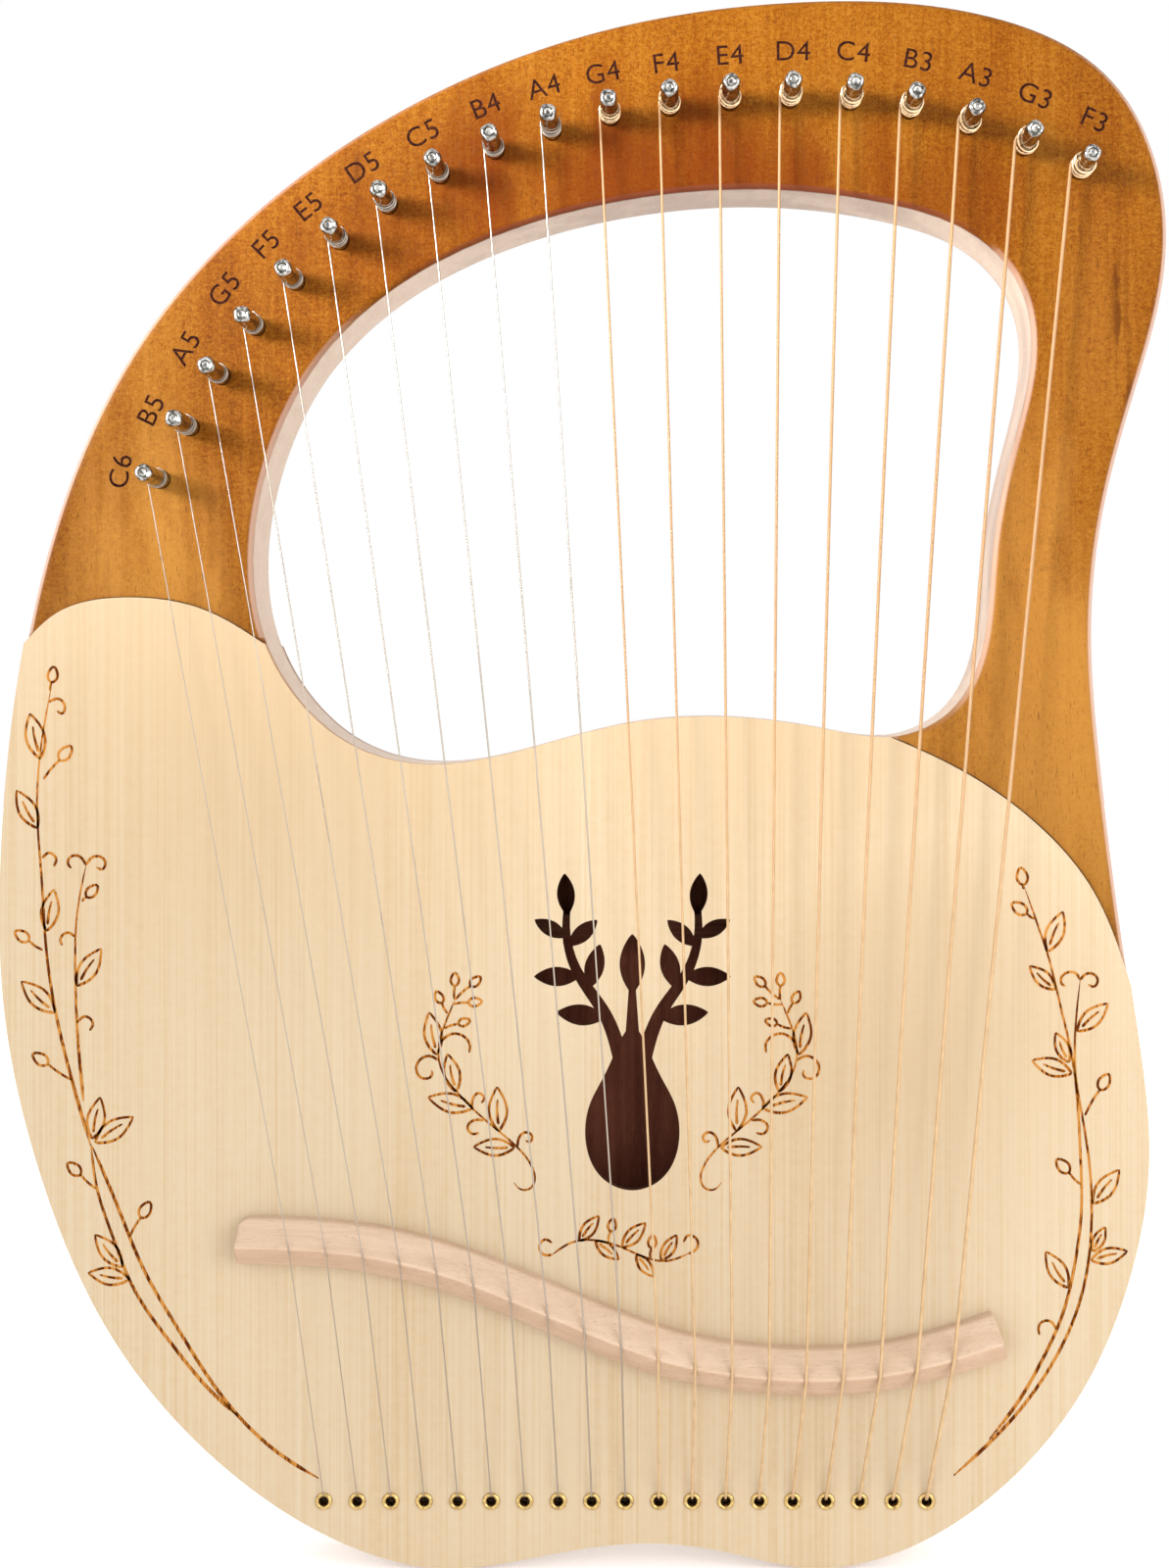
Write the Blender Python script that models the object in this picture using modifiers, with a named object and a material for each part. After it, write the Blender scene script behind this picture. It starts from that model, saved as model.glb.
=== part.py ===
"""A nineteen-string lyre harp, modelled as the separate pieces it is made of.

The harp stands upright: +Z is up, +X is to the player's right, and the
soundboard faces -Y. The origin is at the bottom centre of the whole object.
Sizes are written in millimetres and turned into metres by MM.
"""

from math import atan2, cos, pi, sin

import bmesh
import bpy
import numpy as np
from mathutils import Vector

MM = 0.001
GAP = 0.3

# Depths, front to back.
BODY_DEPTH = 28.0
BOARD = 3.0
NECK_STEP = 1.5
PIN_HEIGHT = 21.0
BACK_Y = (BODY_DEPTH - NECK_STEP + PIN_HEIGHT) / 2
FRONT_Y = BACK_Y - BODY_DEPTH
NECK_Y = FRONT_Y + NECK_STEP
CORE_FRONT_Y = FRONT_Y + BOARD + GAP
CORE_BACK_Y = BACK_Y - BOARD - GAP

# Edge rounding.
FRAME_ROUND = 2.4
BOARD_ROUND = 0.8

# Outline of the whole harp, clockwise from the top of the yoke, as (x, z).
OUTLINE = [
    (62.7, 440.6), (112.3, 436.9), (147.3, 419.7), (162.0, 392.0), (163.6, 366.0),
    (155.0, 330.3), (145.4, 292.5), (142.9, 259.0), (144.9, 230.0), (149.6, 190.0),
    (155.4, 150.0), (158.5, 114.0), (152.4, 79.0), (138.4, 47.5), (117.0, 22.5),
    (94.0, 7.0), (62.7, 0.0), (40.5, 4.3), (18.5, 6.9), (-5.0, 4.6),
    (-42.0, 0.0), (-68.0, 7.0), (-99.0, 26.5), (-132.5, 64.5), (-152.0, 108.0),
    (-163.2, 159.0), (-163.9, 200.0), (-159.0, 250.0), (-147.0, 300.0), (-125.5, 344.5),
    (-88.0, 385.3), (-42.0, 415.0), (8.0, 433.2),
]
OUTLINE_STEPS = 92

# The hand opening between the yoke, the two arms and the body.
OPENING = [
    (50.6, 387.6), (87.0, 383.2), (111.0, 373.8), (123.0, 359.5), (126.0, 343.5),
    (121.0, 316.0), (115.1, 286.0), (112.9, 262.0), (104.5, 242.0), (88.5, 233.5),
    (68.0, 235.4), (40.0, 238.8), (12.0, 237.0), (-16.7, 229.7), (-43.0, 225.5),
    (-65.0, 230.7), (-80.0, 243.0), (-90.5, 261.5), (-93.6, 280.0), (-89.5, 309.5),
    (-77.0, 336.5), (-56.5, 357.6), (-27.0, 373.8), (10.0, 384.3),
]
OPENING_STEPS = 60

# The sound chamber, which the two boards close.
CHAMBER = [
    (-127.0, 256.0), (-106.0, 247.0), (-88.0, 229.0), (-65.0, 217.0), (-42.0, 213.0),
    (-14.0, 218.0), (18.0, 226.0), (50.0, 226.0), (84.0, 220.0), (112.0, 208.0),
    (132.0, 187.0), (144.5, 158.0), (148.5, 124.0), (143.0, 88.0), (128.0, 57.0),
    (106.0, 37.0), (60.0, 30.0), (0.0, 29.0), (-60.0, 30.0), (-96.0, 42.0),
    (-124.0, 74.0), (-143.0, 112.0), (-153.0, 160.0), (-154.0, 202.0), (-147.0, 242.0),
]
CHAMBER_STEPS = 56

# Where the boards' upper edges cross the two arms.
LEFT_BORDER_ENDS = [(-158.1, 259.4), (-91.7, 260.8)]
LEFT_BORDER = [(-149.0, 267.5), (-127.5, 272.4), (-106.5, 268.8)]
RIGHT_BORDER_ENDS = [(84.5, 232.9), (153.7, 166.8)]
RIGHT_BORDER = [(105.2, 224.1), (126.1, 209.5), (141.8, 191.6)]
BORDER_STEPS = 9
OUTSIDE = 175.0

# Strings, treble to bass: note, diameter.
PLAIN_NOTES = ["C6", "B5", "A5", "G5", "F5", "E5", "D5", "C5", "B4", "A4"]
WOUND_NOTES = ["G4", "F4", "E4", "D4", "C4", "B3", "A3", "G3", "F3"]
NOTES = PLAIN_NOTES + WOUND_NOTES
PLAIN_DIAMETER = (0.30, 0.50)
WOUND_DIAMETER = (0.65, 1.05)
BALL_RADIUS = 2.0
BALL_LENGTH = 3.6
BEND_RADIUS = 1.6
BEND_STEPS = 3

# Tuning pins, evenly spaced along the yoke.
PIN_LINE = [(-119.2, 305.6), (-91.8, 349.3), (-55.0, 382.9), (-8.7, 403.7), (41.5, 411.9),
            (91.6, 409.4), (138.9, 392.5)]
PIN_RADIUS = 2.5
PIN_DEPTH = 20.5
PIN_SIDES = 10
PIN_HOLE_RADIUS = 2.65
PIN_HOLE_DEPTH = 21.5
PIN_HOLE_SIDES = 12
HEAD_RADIUS = 2.35
HEAD_CHAMFER = 0.7
HEAD_LENGTH = 7.0
STRING_LIFT = 5.0
COIL_TURNS = 2.6

# Row of anchor holes along the foot of the body.
ANCHOR_FIRST = -73.2
ANCHOR_PITCH = 9.4
ANCHOR_Z = 18.8
ANCHOR_RADIUS = 1.6
ANCHOR_SIDES = 8
EYELET_SEAT_RADIUS = 2.0
BALL_SEAT_RADIUS = 2.6
BALL_SEAT_DEPTH = 5.0

# Bridge: its ridge, which the strings cross, and the bar's section around it.
RIDGE = [(-96.7, 92.1), (-80.0, 91.7), (-60.0, 89.7), (-38.0, 84.4), (-14.0, 75.1), (6.5, 66.5),
         (24.0, 60.4), (44.0, 56.7), (66.5, 55.5), (89.5, 57.9), (116.4, 65.6)]
RIDGE_STEPS = 26
RIDGE_HEIGHT = 9.0
RIDGE_CROWN = 0.8
BRIDGE_UPPER = 7.0
BRIDGE_LOWER = 5.6
BRIDGE_UPPER_HEIGHT = 3.6
BRIDGE_LOWER_HEIGHT = 4.6
STRING_FIRST = -81.3
STRING_PITCH = 10.22

# Sound hole: a seed pod with two leafy branches and a bud, measured from the pod's foot.
POD_X = 13.4
POD_FOOT = 106.0
POD = [(0.0, 0.0), (8.5, 3.5), (13.0, 13.0), (12.0, 24.0), (7.0, 34.0), (0.0, 46.0)]
POD_STEPS = 26
BRANCH = [(3.0, 36.0), (8.0, 50.0), (15.0, 60.5), (18.5, 72.0), (18.0, 82.0)]
BRANCH_STEPS = 6
BRANCH_WIDTH = (4.4, 1.8)
BUD_STEM = [(0.0, 40.0), (0.0, 50.0), (0.0, 58.0)]
LEAVES = [(7.4, 48.5, 14.0, 6.0), (14.6, 60.0, 13.0, 0.0), (12.2, 56.5, 13.0, 104.0),
          (18.2, 71.0, 10.5, 28.0), (18.0, 68.5, 11.0, 138.0), (18.2, 77.0, 12.0, 86.0)]
BUD = (0.0, 55.0, 17.0, 90.0)
LEAF_WIDTH = 0.42
LEAF_STEPS = 6

# Braces inside the chamber: name, centre height, half length, centre x.
FRONT_BRACES = [("soundboard_brace", 203.0, 118.0, -8.0)]
BACK_BRACES = [("upper_back_brace", 178.0, 132.0, -4.0), ("lower_back_brace", 70.0, 112.0, 0.0)]
BRACE_WIDTH = 7.0
FRONT_BRACE_HEIGHT = 8.0
BACK_BRACE_HEIGHT = 6.5
BRACE_END_HEIGHT = 2.5
BRACE_TAPER = 26.0

# The plate glued under the soundboard, below the bridge.
PLATE_THICKNESS = 2.0
PLATE_HALF_WIDTH = 11.0
PLATE_SHORTER = 10.0

COLOURS = {
    "amber_wood": ((0.56, 0.24, 0.05), 0.32, 0.0),
    "spruce": ((0.86, 0.70, 0.45), 0.55, 0.0),
    "brace_wood": ((0.72, 0.56, 0.36), 0.7, 0.0),
    "back_wood": ((0.42, 0.18, 0.05), 0.4, 0.0),
    "beech": ((0.78, 0.58, 0.44), 0.55, 0.0),
    "chrome": ((0.80, 0.80, 0.79), 0.12, 1.0),
    "steel_string": ((0.75, 0.75, 0.75), 0.22, 1.0),
    "bronze_string": ((0.80, 0.52, 0.24), 0.3, 1.0),
}


def smooth_curve(points, steps, closed):
    """Evenly spaced points on the cubic spline through points."""
    knots = np.array(points + points[:1] if closed else points, dtype=float)
    length = np.linalg.norm(np.diff(knots, axis=0), axis=1)
    where = np.concatenate([[0.0], np.cumsum(length)])
    slope = spline_slopes(knots, length, closed)
    fine = np.linspace(0.0, where[-1], 40 * len(knots))
    span = np.clip(np.searchsorted(where, fine, side="right") - 1, 0, len(length) - 1)
    size = length[span][:, None]
    part = (fine - where[span])[:, None] / size
    start = knots[span] * (1 + 2 * part) * (1 - part) ** 2 + slope[span] * size * part * (1 - part) ** 2
    end = knots[span + 1] * (3 - 2 * part) * part ** 2 + slope[span + 1] * size * (part - 1) * part ** 2
    return even_points(start + end, steps, closed)


def spline_slopes(knots, length, closed):
    """Slopes that make the spline's curvature continuous at each knot."""
    last = len(knots) - 1
    matrix = np.zeros((last + 1, last + 1))
    right = np.zeros_like(knots)
    rise = np.diff(knots, axis=0) / length[:, None]
    for row in range(1, last):
        before, after = length[row - 1], length[row]
        matrix[row, row - 1:row + 2] = [after, 2 * (before + after), before]
        right[row] = 3 * (after * rise[row - 1] + before * rise[row])
    if closed:
        before, after = length[-1], length[0]
        matrix[0, [last - 1, 0, 1]] = [after, 2 * (before + after), before]
        right[0] = 3 * (after * rise[-1] + before * rise[0])
        matrix[last, [0, last]] = [1, -1]
    else:
        matrix[0, :2] = [2, 1]
        right[0] = 3 * rise[0]
        matrix[last, last - 1:] = [1, 2]
        right[last] = 3 * rise[-1]
    return np.linalg.solve(matrix, right)


def even_points(fine, steps, closed):
    """The same line with steps equal spans; a closed line's last point is left out."""
    walked = np.concatenate([[0.0], np.cumsum(np.linalg.norm(np.diff(fine, axis=0), axis=1))])
    marks = np.linspace(0.0, walked[-1], steps + 1)
    even = [tuple(np.array([np.interp(mark, walked, fine[:, axis]) for axis in range(2)])) for mark in marks]
    return even[:-1] if closed else even


def nearest(points, target):
    """Index of the point closest to target."""
    return int(np.argmin([np.hypot(x - target[0], z - target[1]) for x, z in points]))


def stretch(points, first, last):
    """The points from first to last, walking on past the end of the list."""
    count = (last - first) % len(points)
    return [points[(first + step) % len(points)] for step in range(count + 1)]


def collection(name):
    made = bpy.data.collections.new(name)
    bpy.context.scene.collection.children.link(made)
    return made


def material(name):
    """The Principled material for one kind of surface, made once."""
    if name in bpy.data.materials:
        return bpy.data.materials[name]
    made = bpy.data.materials.new(name)
    made.use_nodes = True
    colour, roughness, metallic = COLOURS[name]
    shader = made.node_tree.nodes["Principled BSDF"]
    shader.inputs["Base Color"].default_value = (*colour, 1.0)
    shader.inputs["Roughness"].default_value = roughness
    shader.inputs["Metallic"].default_value = metallic
    made.diffuse_color = (*colour, 1.0)
    return made


def finish(made, surface, group, smooth_below=40.0):
    """Give a piece its own material, its shading and its collection."""
    own = material(surface).copy()
    own.name = made.name + "_finish"
    made.data.materials.clear()
    made.data.materials.append(own)
    made.data.shade_smooth()
    made.data.set_sharp_from_angle(angle=smooth_below * pi / 180)
    for owner in list(made.users_collection):
        owner.objects.unlink(made)
    group.objects.link(made)
    return made


def mesh_from_curve(curve_object):
    """Turn a curve object into a closed mesh object in world space."""
    bpy.context.view_layer.update()
    evaluated = curve_object.evaluated_get(bpy.context.evaluated_depsgraph_get())
    mesh = bpy.data.meshes.new_from_object(evaluated)
    mesh.transform(curve_object.matrix_world)
    name = curve_object.name
    bpy.data.objects.remove(curve_object)
    shell = bmesh.new()
    shell.from_mesh(mesh)
    bmesh.ops.remove_doubles(shell, verts=shell.verts, dist=0.00001)
    bmesh.ops.recalc_face_normals(shell, faces=shell.faces)
    shell.to_mesh(mesh)
    shell.free()
    made = bpy.data.objects.new(name, mesh)
    bpy.context.scene.collection.objects.link(made)
    return made


def flat_solid(name, loops, y_front, y_back, rounding=0.0):
    """A slab between two depths with the given outlines, which lie in X and Z."""
    curve = bpy.data.curves.new(name, "CURVE")
    curve.dimensions = "2D"
    curve.fill_mode = "BOTH"
    curve.extrude = (y_back - y_front) / 2 * MM - rounding * MM
    curve.bevel_depth = rounding * MM
    curve.bevel_resolution = 1
    curve.offset = -rounding * MM
    for loop in loops:
        spline = curve.splines.new("POLY")
        spline.points.add(len(loop) - 1)
        spline.use_cyclic_u = True
        for point, (x, z) in zip(spline.points, loop):
            point.co = (x * MM, z * MM, 0, 1)
    made = bpy.data.objects.new(name, curve)
    made.rotation_euler.x = pi / 2
    made.location.y = (y_front + y_back) / 2 * MM
    bpy.context.scene.collection.objects.link(made)
    return mesh_from_curve(made)


def round_edges(made, y_face, radius, segments, keep_sharp):
    """Round the outer edge at one face, except along the points to keep sharp."""
    shell = bmesh.new()
    shell.from_mesh(made.data)
    edges = []
    for edge in shell.edges:
        on_face = all(abs(vert.co.y - y_face * MM) < 0.00001 for vert in edge.verts)
        rim = len(edge.link_faces) == 2 and edge.calc_face_angle() > 1.0
        middle = (edge.verts[0].co + edge.verts[1].co) / 2
        if on_face and rim and not keep_sharp(middle.x / MM, middle.z / MM):
            edges.append(edge)
    bmesh.ops.bevel(shell, geom=edges, offset=radius * MM, segments=segments, profile=0.5,
                    affect="EDGES", clamp_overlap=True)
    shell.to_mesh(made.data)
    shell.free()


def cut(made, cutter, operation="DIFFERENCE"):
    """Apply one Boolean and keep the cutter as a hidden guide."""
    boolean = made.modifiers.new(cutter.name, "BOOLEAN")
    boolean.operation = operation
    boolean.object = cutter
    boolean.solver = "EXACT"
    cutter.hide_render = True
    cutter.display_type = "WIRE"
    for owner in list(cutter.users_collection):
        owner.objects.unlink(cutter)
    cutters.objects.link(cutter)


def drill(name, centres, radius, y_front, y_back, sides):
    """One cutter made of parallel round bars along Y."""
    shell = bmesh.new()
    for x, z in centres:
        bar = bmesh.ops.create_cone(shell, cap_ends=True, segments=sides, radius1=radius * MM,
                                    radius2=radius * MM, depth=(y_back - y_front) * MM)
        for vert in bar["verts"]:
            along = vert.co.z
            vert.co = Vector((vert.co.x + x * MM, along + (y_front + y_back) / 2 * MM, z * MM - vert.co.y))
    bmesh.ops.recalc_face_normals(shell, faces=shell.faces)
    mesh = bpy.data.meshes.new(name)
    shell.to_mesh(mesh)
    shell.free()
    made = bpy.data.objects.new(name, mesh)
    bpy.context.scene.collection.objects.link(made)
    return made


def turned_pin(name, profile, centre):
    """A round piece on an axis along Y; the profile is (radius, height off the yoke)."""
    mesh = bpy.data.meshes.new(name)
    points = [(radius * MM, 0, height * MM) for radius, height in profile]
    mesh.from_pydata(points, [(step, step + 1) for step in range(len(points) - 1)], [])
    made = bpy.data.objects.new(name, mesh)
    made.location = (centre[0] * MM, NECK_Y * MM, centre[1] * MM)
    made.rotation_euler.x = pi / 2
    bpy.context.scene.collection.objects.link(made)
    screw = made.modifiers.new("turn", "SCREW")
    screw.axis = "Z"
    screw.steps = PIN_SIDES
    screw.render_steps = PIN_SIDES
    screw.use_merge_vertices = True
    screw.merge_threshold = 0.00001
    return made


def tube(name, route):
    """A round tube through (x, y, z, radius) points."""
    curve = bpy.data.curves.new(name, "CURVE")
    curve.dimensions = "3D"
    curve.bevel_depth = MM
    curve.bevel_resolution = 2
    curve.use_fill_caps = True
    spline = curve.splines.new("POLY")
    spline.points.add(len(route) - 1)
    for point, (x, y, z, radius) in zip(spline.points, route):
        point.co = (x * MM, y * MM, z * MM, 1)
        point.radius = radius
    made = bpy.data.objects.new(name, curve)
    bpy.context.scene.collection.objects.link(made)
    return mesh_from_curve(made)


def string_radii():
    """Radius of each string, treble to bass."""
    plain = np.linspace(*PLAIN_DIAMETER, len(PLAIN_NOTES))
    wound = np.linspace(*WOUND_DIAMETER, len(WOUND_NOTES))
    return list(plain / 2) + list(wound / 2)


def anchor_points():
    """The middle of each anchor hole, left to right."""
    return [(ANCHOR_FIRST + ANCHOR_PITCH * number, ANCHOR_Z) for number in range(len(NOTES))]


def ridge_point(ridge, x):
    """The point of the bridge's ridge at one x."""
    xs, zs = zip(*ridge)
    return x, float(np.interp(x, xs, zs))


def tangent_point(centre, radius, start):
    """Where a line from start touches the left side of a circle, looking at the front."""
    away = Vector((centre[0] - start[0], centre[1] - start[1]))
    swing = atan2(away.y, away.x) + np.arcsin(radius / away.length)
    reach = (away.length ** 2 - radius ** 2) ** 0.5
    return start[0] + reach * cos(swing), start[1] + reach * sin(swing)


def make_frame(outer, opening, rebate, group):
    """Yoke, arms and rim, cut from one slab, with a through chamber and rebates for the boards."""
    made = flat_solid("frame", [outer, opening], NECK_Y, BACK_Y, FRAME_ROUND)
    chamber = smooth_curve(CHAMBER, CHAMBER_STEPS, True)
    cut(made, flat_solid("chamber_cutter", [chamber], NECK_Y - 5, BACK_Y + 5))
    cut(made, flat_solid("front_rebate_cutter", [rebate], NECK_Y - 5, CORE_FRONT_Y))
    cut(made, flat_solid("back_rebate_cutter", [rebate], CORE_BACK_Y, BACK_Y + 5))
    hole_end = NECK_Y + PIN_HOLE_DEPTH
    cut(made, drill("pin_holes_cutter", pin_points(), PIN_HOLE_RADIUS, NECK_Y - 5, hole_end, PIN_HOLE_SIDES))
    cut(made, drill("anchor_holes_cutter", anchor_points(), ANCHOR_RADIUS, NECK_Y - 5, BACK_Y + 5, ANCHOR_SIDES))
    seat = BACK_Y - BALL_SEAT_DEPTH
    cut(made, drill("ball_seats_cutter", anchor_points(), BALL_SEAT_RADIUS, seat, BACK_Y + 5, ANCHOR_SIDES))
    return finish(made, "amber_wood", group)


def border_lines(outer, opening):
    """The boards' upper edges over the left arm and the right arm, each from left to right."""
    left_start = outer[nearest(outer, LEFT_BORDER_ENDS[0])]
    left_end = opening[nearest(opening, LEFT_BORDER_ENDS[1])]
    right_start = opening[nearest(opening, RIGHT_BORDER_ENDS[0])]
    right_end = outer[nearest(outer, RIGHT_BORDER_ENDS[1])]
    left = smooth_curve([left_start] + LEFT_BORDER + [left_end], BORDER_STEPS, False)
    right = smooth_curve([right_start] + RIGHT_BORDER + [right_end], BORDER_STEPS, False)
    return left, right


def rebate_outline(left, right):
    """The area under a board, run out past the rim and into the hand opening."""
    left = [(x, z + GAP) for x, z in left]
    right = [(x + GAP, z + GAP) for x, z in right]
    inside_opening = [(-84.0, 262.0), (-60.0, 252.0), (60.0, 252.0), (84.5, 240.0)]
    outside = [(OUTSIDE, right[-1][1] - 20.0), (OUTSIDE, -20.0), (-OUTSIDE, -20.0),
               (-OUTSIDE, left[0][1] - 20.0)]
    return left + inside_opening + right + outside


def board_outline(outer, opening, left, right):
    """Outline of the soundboard and of the back board."""
    along_opening = stretch(opening, nearest(opening, right[0]), nearest(opening, left[-1]))[::-1]
    around_body = stretch(outer, nearest(outer, right[-1]), nearest(outer, left[0]))
    return left + along_opening[1:-1] + right + around_body[1:-1]


def sound_hole_loops():
    """Outlines of the sound hole, which overlap into one opening."""
    pod = POD + [(-x, z) for x, z in POD[-2:0:-1]]
    loops = [smooth_curve(pod, POD_STEPS, True), branch_loop(BUD_STEM, 1), leaf_loop(*BUD, 1)]
    for side in (1, -1):
        loops.append(branch_loop(BRANCH, side))
        loops += [leaf_loop(*leaf, side) for leaf in LEAVES]
    return [[(POD_X + x, POD_FOOT + z) for x, z in loop] for loop in loops]


def branch_loop(points, side):
    """A tapering stem along points; side -1 mirrors it."""
    line = np.array(smooth_curve(points, BRANCH_STEPS, False))
    along = np.gradient(line, axis=0)
    along /= np.linalg.norm(along, axis=1)[:, None]
    across = np.stack([-along[:, 1], along[:, 0]], axis=1) * np.linspace(*BRANCH_WIDTH, len(line))[:, None] / 2
    loop = list(line + across) + list(line - across)[::-1]
    return [(x * side, z) for x, z in loop]


def leaf_loop(x, z, length, angle, side):
    """A pointed leaf from its root at x and z; side -1 mirrors it."""
    turn = angle * pi / 180
    loop = []
    for half in (1, -1):
        for step in range(LEAF_STEPS):
            part = step / LEAF_STEPS if half == 1 else 1 - step / LEAF_STEPS
            along = part * length
            across = half * LEAF_WIDTH / 2 * length * sin(pi * part) ** 0.8
            loop.append((x + along * cos(turn) - across * sin(turn), z + along * sin(turn) + across * cos(turn)))
    return [(x * side, z) for x, z in loop]


def make_soundboard(outline, group):
    """The spruce front, with its sound hole and a row of seats for the eyelets."""
    made = flat_solid("soundboard", [outline], FRONT_Y, FRONT_Y + BOARD)
    round_edges(made, FRONT_Y, BOARD_ROUND, 2, lambda x, z: False)
    for number, loop in enumerate(sound_hole_loops()):
        cut(made, flat_solid(f"sound_hole_cutter_{number}", [loop], FRONT_Y - 5, FRONT_Y + BOARD + 5))
    seats = drill("eyelet_seats_cutter", anchor_points(), EYELET_SEAT_RADIUS, FRONT_Y - 5, FRONT_Y + 8,
                  ANCHOR_SIDES)
    cut(made, seats)
    return finish(made, "spruce", group)


def make_back_board(outline, borders, group):
    """The back, let in flush with the yoke, with a seat for each string's ball end."""
    made = flat_solid("back_board", [outline], BACK_Y - BOARD, BACK_Y)

    def on_border(x, z):
        return min(np.hypot(x - border_x, z - border_z) for border_x, border_z in borders) < 5.0

    round_edges(made, BACK_Y, FRAME_ROUND * 0.9, 2, on_border)
    cut(made, drill("back_ball_seats_cutter", anchor_points(), BALL_SEAT_RADIUS, BACK_Y - 8, BACK_Y + 5,
                    ANCHOR_SIDES))
    return finish(made, "back_wood", group)


def side_points(ridge, offset):
    """The ridge moved sideways in the plane of the soundboard, positive upwards."""
    points = np.array(ridge)
    along = np.gradient(points, axis=0)
    along /= np.linalg.norm(along, axis=1)[:, None]
    across = np.stack([-along[:, 1], along[:, 0]], axis=1)
    return points + across * offset


def make_bar(name, ridge, section, y_base, surface, group):
    """A bar with a constant section of (offset, height) points swept along the ridge."""
    shell = bmesh.new()
    rings = []
    for offset, height in section:
        line = side_points(ridge, offset)
        rings.append([shell.verts.new((x * MM, (y_base - height) * MM, z * MM)) for x, z in line])
    count = len(rings)
    for row in range(count):
        lower, upper = rings[row], rings[(row + 1) % count]
        for step in range(len(ridge) - 1):
            shell.faces.new((lower[step], lower[step + 1], upper[step + 1], upper[step]))
    shell.faces.new([ring[0] for ring in rings])
    shell.faces.new([ring[-1] for ring in rings])
    bmesh.ops.recalc_face_normals(shell, faces=shell.faces)
    mesh = bpy.data.meshes.new(name)
    shell.to_mesh(mesh)
    shell.free()
    made = bpy.data.objects.new(name, mesh)
    bpy.context.scene.collection.objects.link(made)
    return finish(made, surface, group, 25.0)


def make_bridge(ridge, group):
    """The S-shaped bridge: two sloping facets that meet at the ridge."""
    section = [(BRIDGE_UPPER, GAP), (BRIDGE_UPPER, BRIDGE_UPPER_HEIGHT), (RIDGE_CROWN, RIDGE_HEIGHT),
               (-RIDGE_CROWN, RIDGE_HEIGHT), (-BRIDGE_LOWER, BRIDGE_LOWER_HEIGHT), (-BRIDGE_LOWER, GAP)]
    return make_bar("bridge", ridge, section, FRONT_Y, "beech", group)


def make_bridge_plate(ridge, group):
    """The plate under the soundboard that spreads the bridge's load."""
    inner = [point for point in ridge if ridge[0][0] + PLATE_SHORTER < point[0] < ridge[-1][0] - PLATE_SHORTER]
    y_base = FRONT_Y + BOARD
    section = [(PLATE_HALF_WIDTH, -GAP), (-PLATE_HALF_WIDTH, -GAP),
               (-PLATE_HALF_WIDTH, -GAP - PLATE_THICKNESS), (PLATE_HALF_WIDTH, -GAP - PLATE_THICKNESS)]
    return make_bar("bridge_plate", inner[::2], section, y_base, "brace_wood", group)


def make_brace(name, z, half_length, centre_x, y_glued, height, group):
    """A straight brace whose height tapers at both ends; height points into the chamber."""
    reach = [(-half_length, BRACE_END_HEIGHT), (BRACE_TAPER - half_length, abs(height)),
             (half_length - BRACE_TAPER, abs(height)), (half_length, BRACE_END_HEIGHT)]
    inward = 1 if height > 0 else -1
    base = y_glued + GAP * inward
    profile = [(centre_x - half_length, base), (centre_x + half_length, base)]
    profile += [(centre_x + x, base + tall * inward) for x, tall in reversed(reach)]
    shell = bmesh.new()
    low = [shell.verts.new((x * MM, y * MM, (z - BRACE_WIDTH / 2) * MM)) for x, y in profile]
    face = shell.faces.new(low)
    grown = bmesh.ops.extrude_face_region(shell, geom=[face])
    top = [item for item in grown["geom"] if isinstance(item, bmesh.types.BMVert)]
    bmesh.ops.translate(shell, verts=top, vec=(0, 0, BRACE_WIDTH * MM))
    bmesh.ops.recalc_face_normals(shell, faces=shell.faces)
    mesh = bpy.data.meshes.new(name)
    shell.to_mesh(mesh)
    shell.free()
    made = bpy.data.objects.new(name, mesh)
    bpy.context.scene.collection.objects.link(made)
    return finish(made, "brace_wood", group)


def pin_points():
    """The tuning pins' axes, treble to bass, evenly spaced along the yoke."""
    return smooth_curve(PIN_LINE, len(NOTES) - 1, False)


def make_pins(group):
    """Each tuning pin with the turns of string wound on it."""
    for note, centre, radius in zip(NOTES, pin_points(), string_radii()):
        coil_low = STRING_LIFT + radius + GAP
        coil_high = coil_low + COIL_TURNS * 2 * radius
        coil = PIN_RADIUS + 2 * radius
        profile = [(0, PIN_HEIGHT), (HEAD_RADIUS - HEAD_CHAMFER, PIN_HEIGHT),
                   (HEAD_RADIUS, PIN_HEIGHT - HEAD_CHAMFER), (PIN_RADIUS, PIN_HEIGHT - HEAD_LENGTH),
                   (PIN_RADIUS, coil_high + 2 * radius), (coil, coil_high), (coil, coil_low),
                   (PIN_RADIUS, coil_low), (PIN_RADIUS, 0.0), (PIN_RADIUS, -PIN_DEPTH), (0, -PIN_DEPTH)]
        finish(turned_pin(f"tuning_pin_{note}", profile, centre), "chrome", group)


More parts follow.
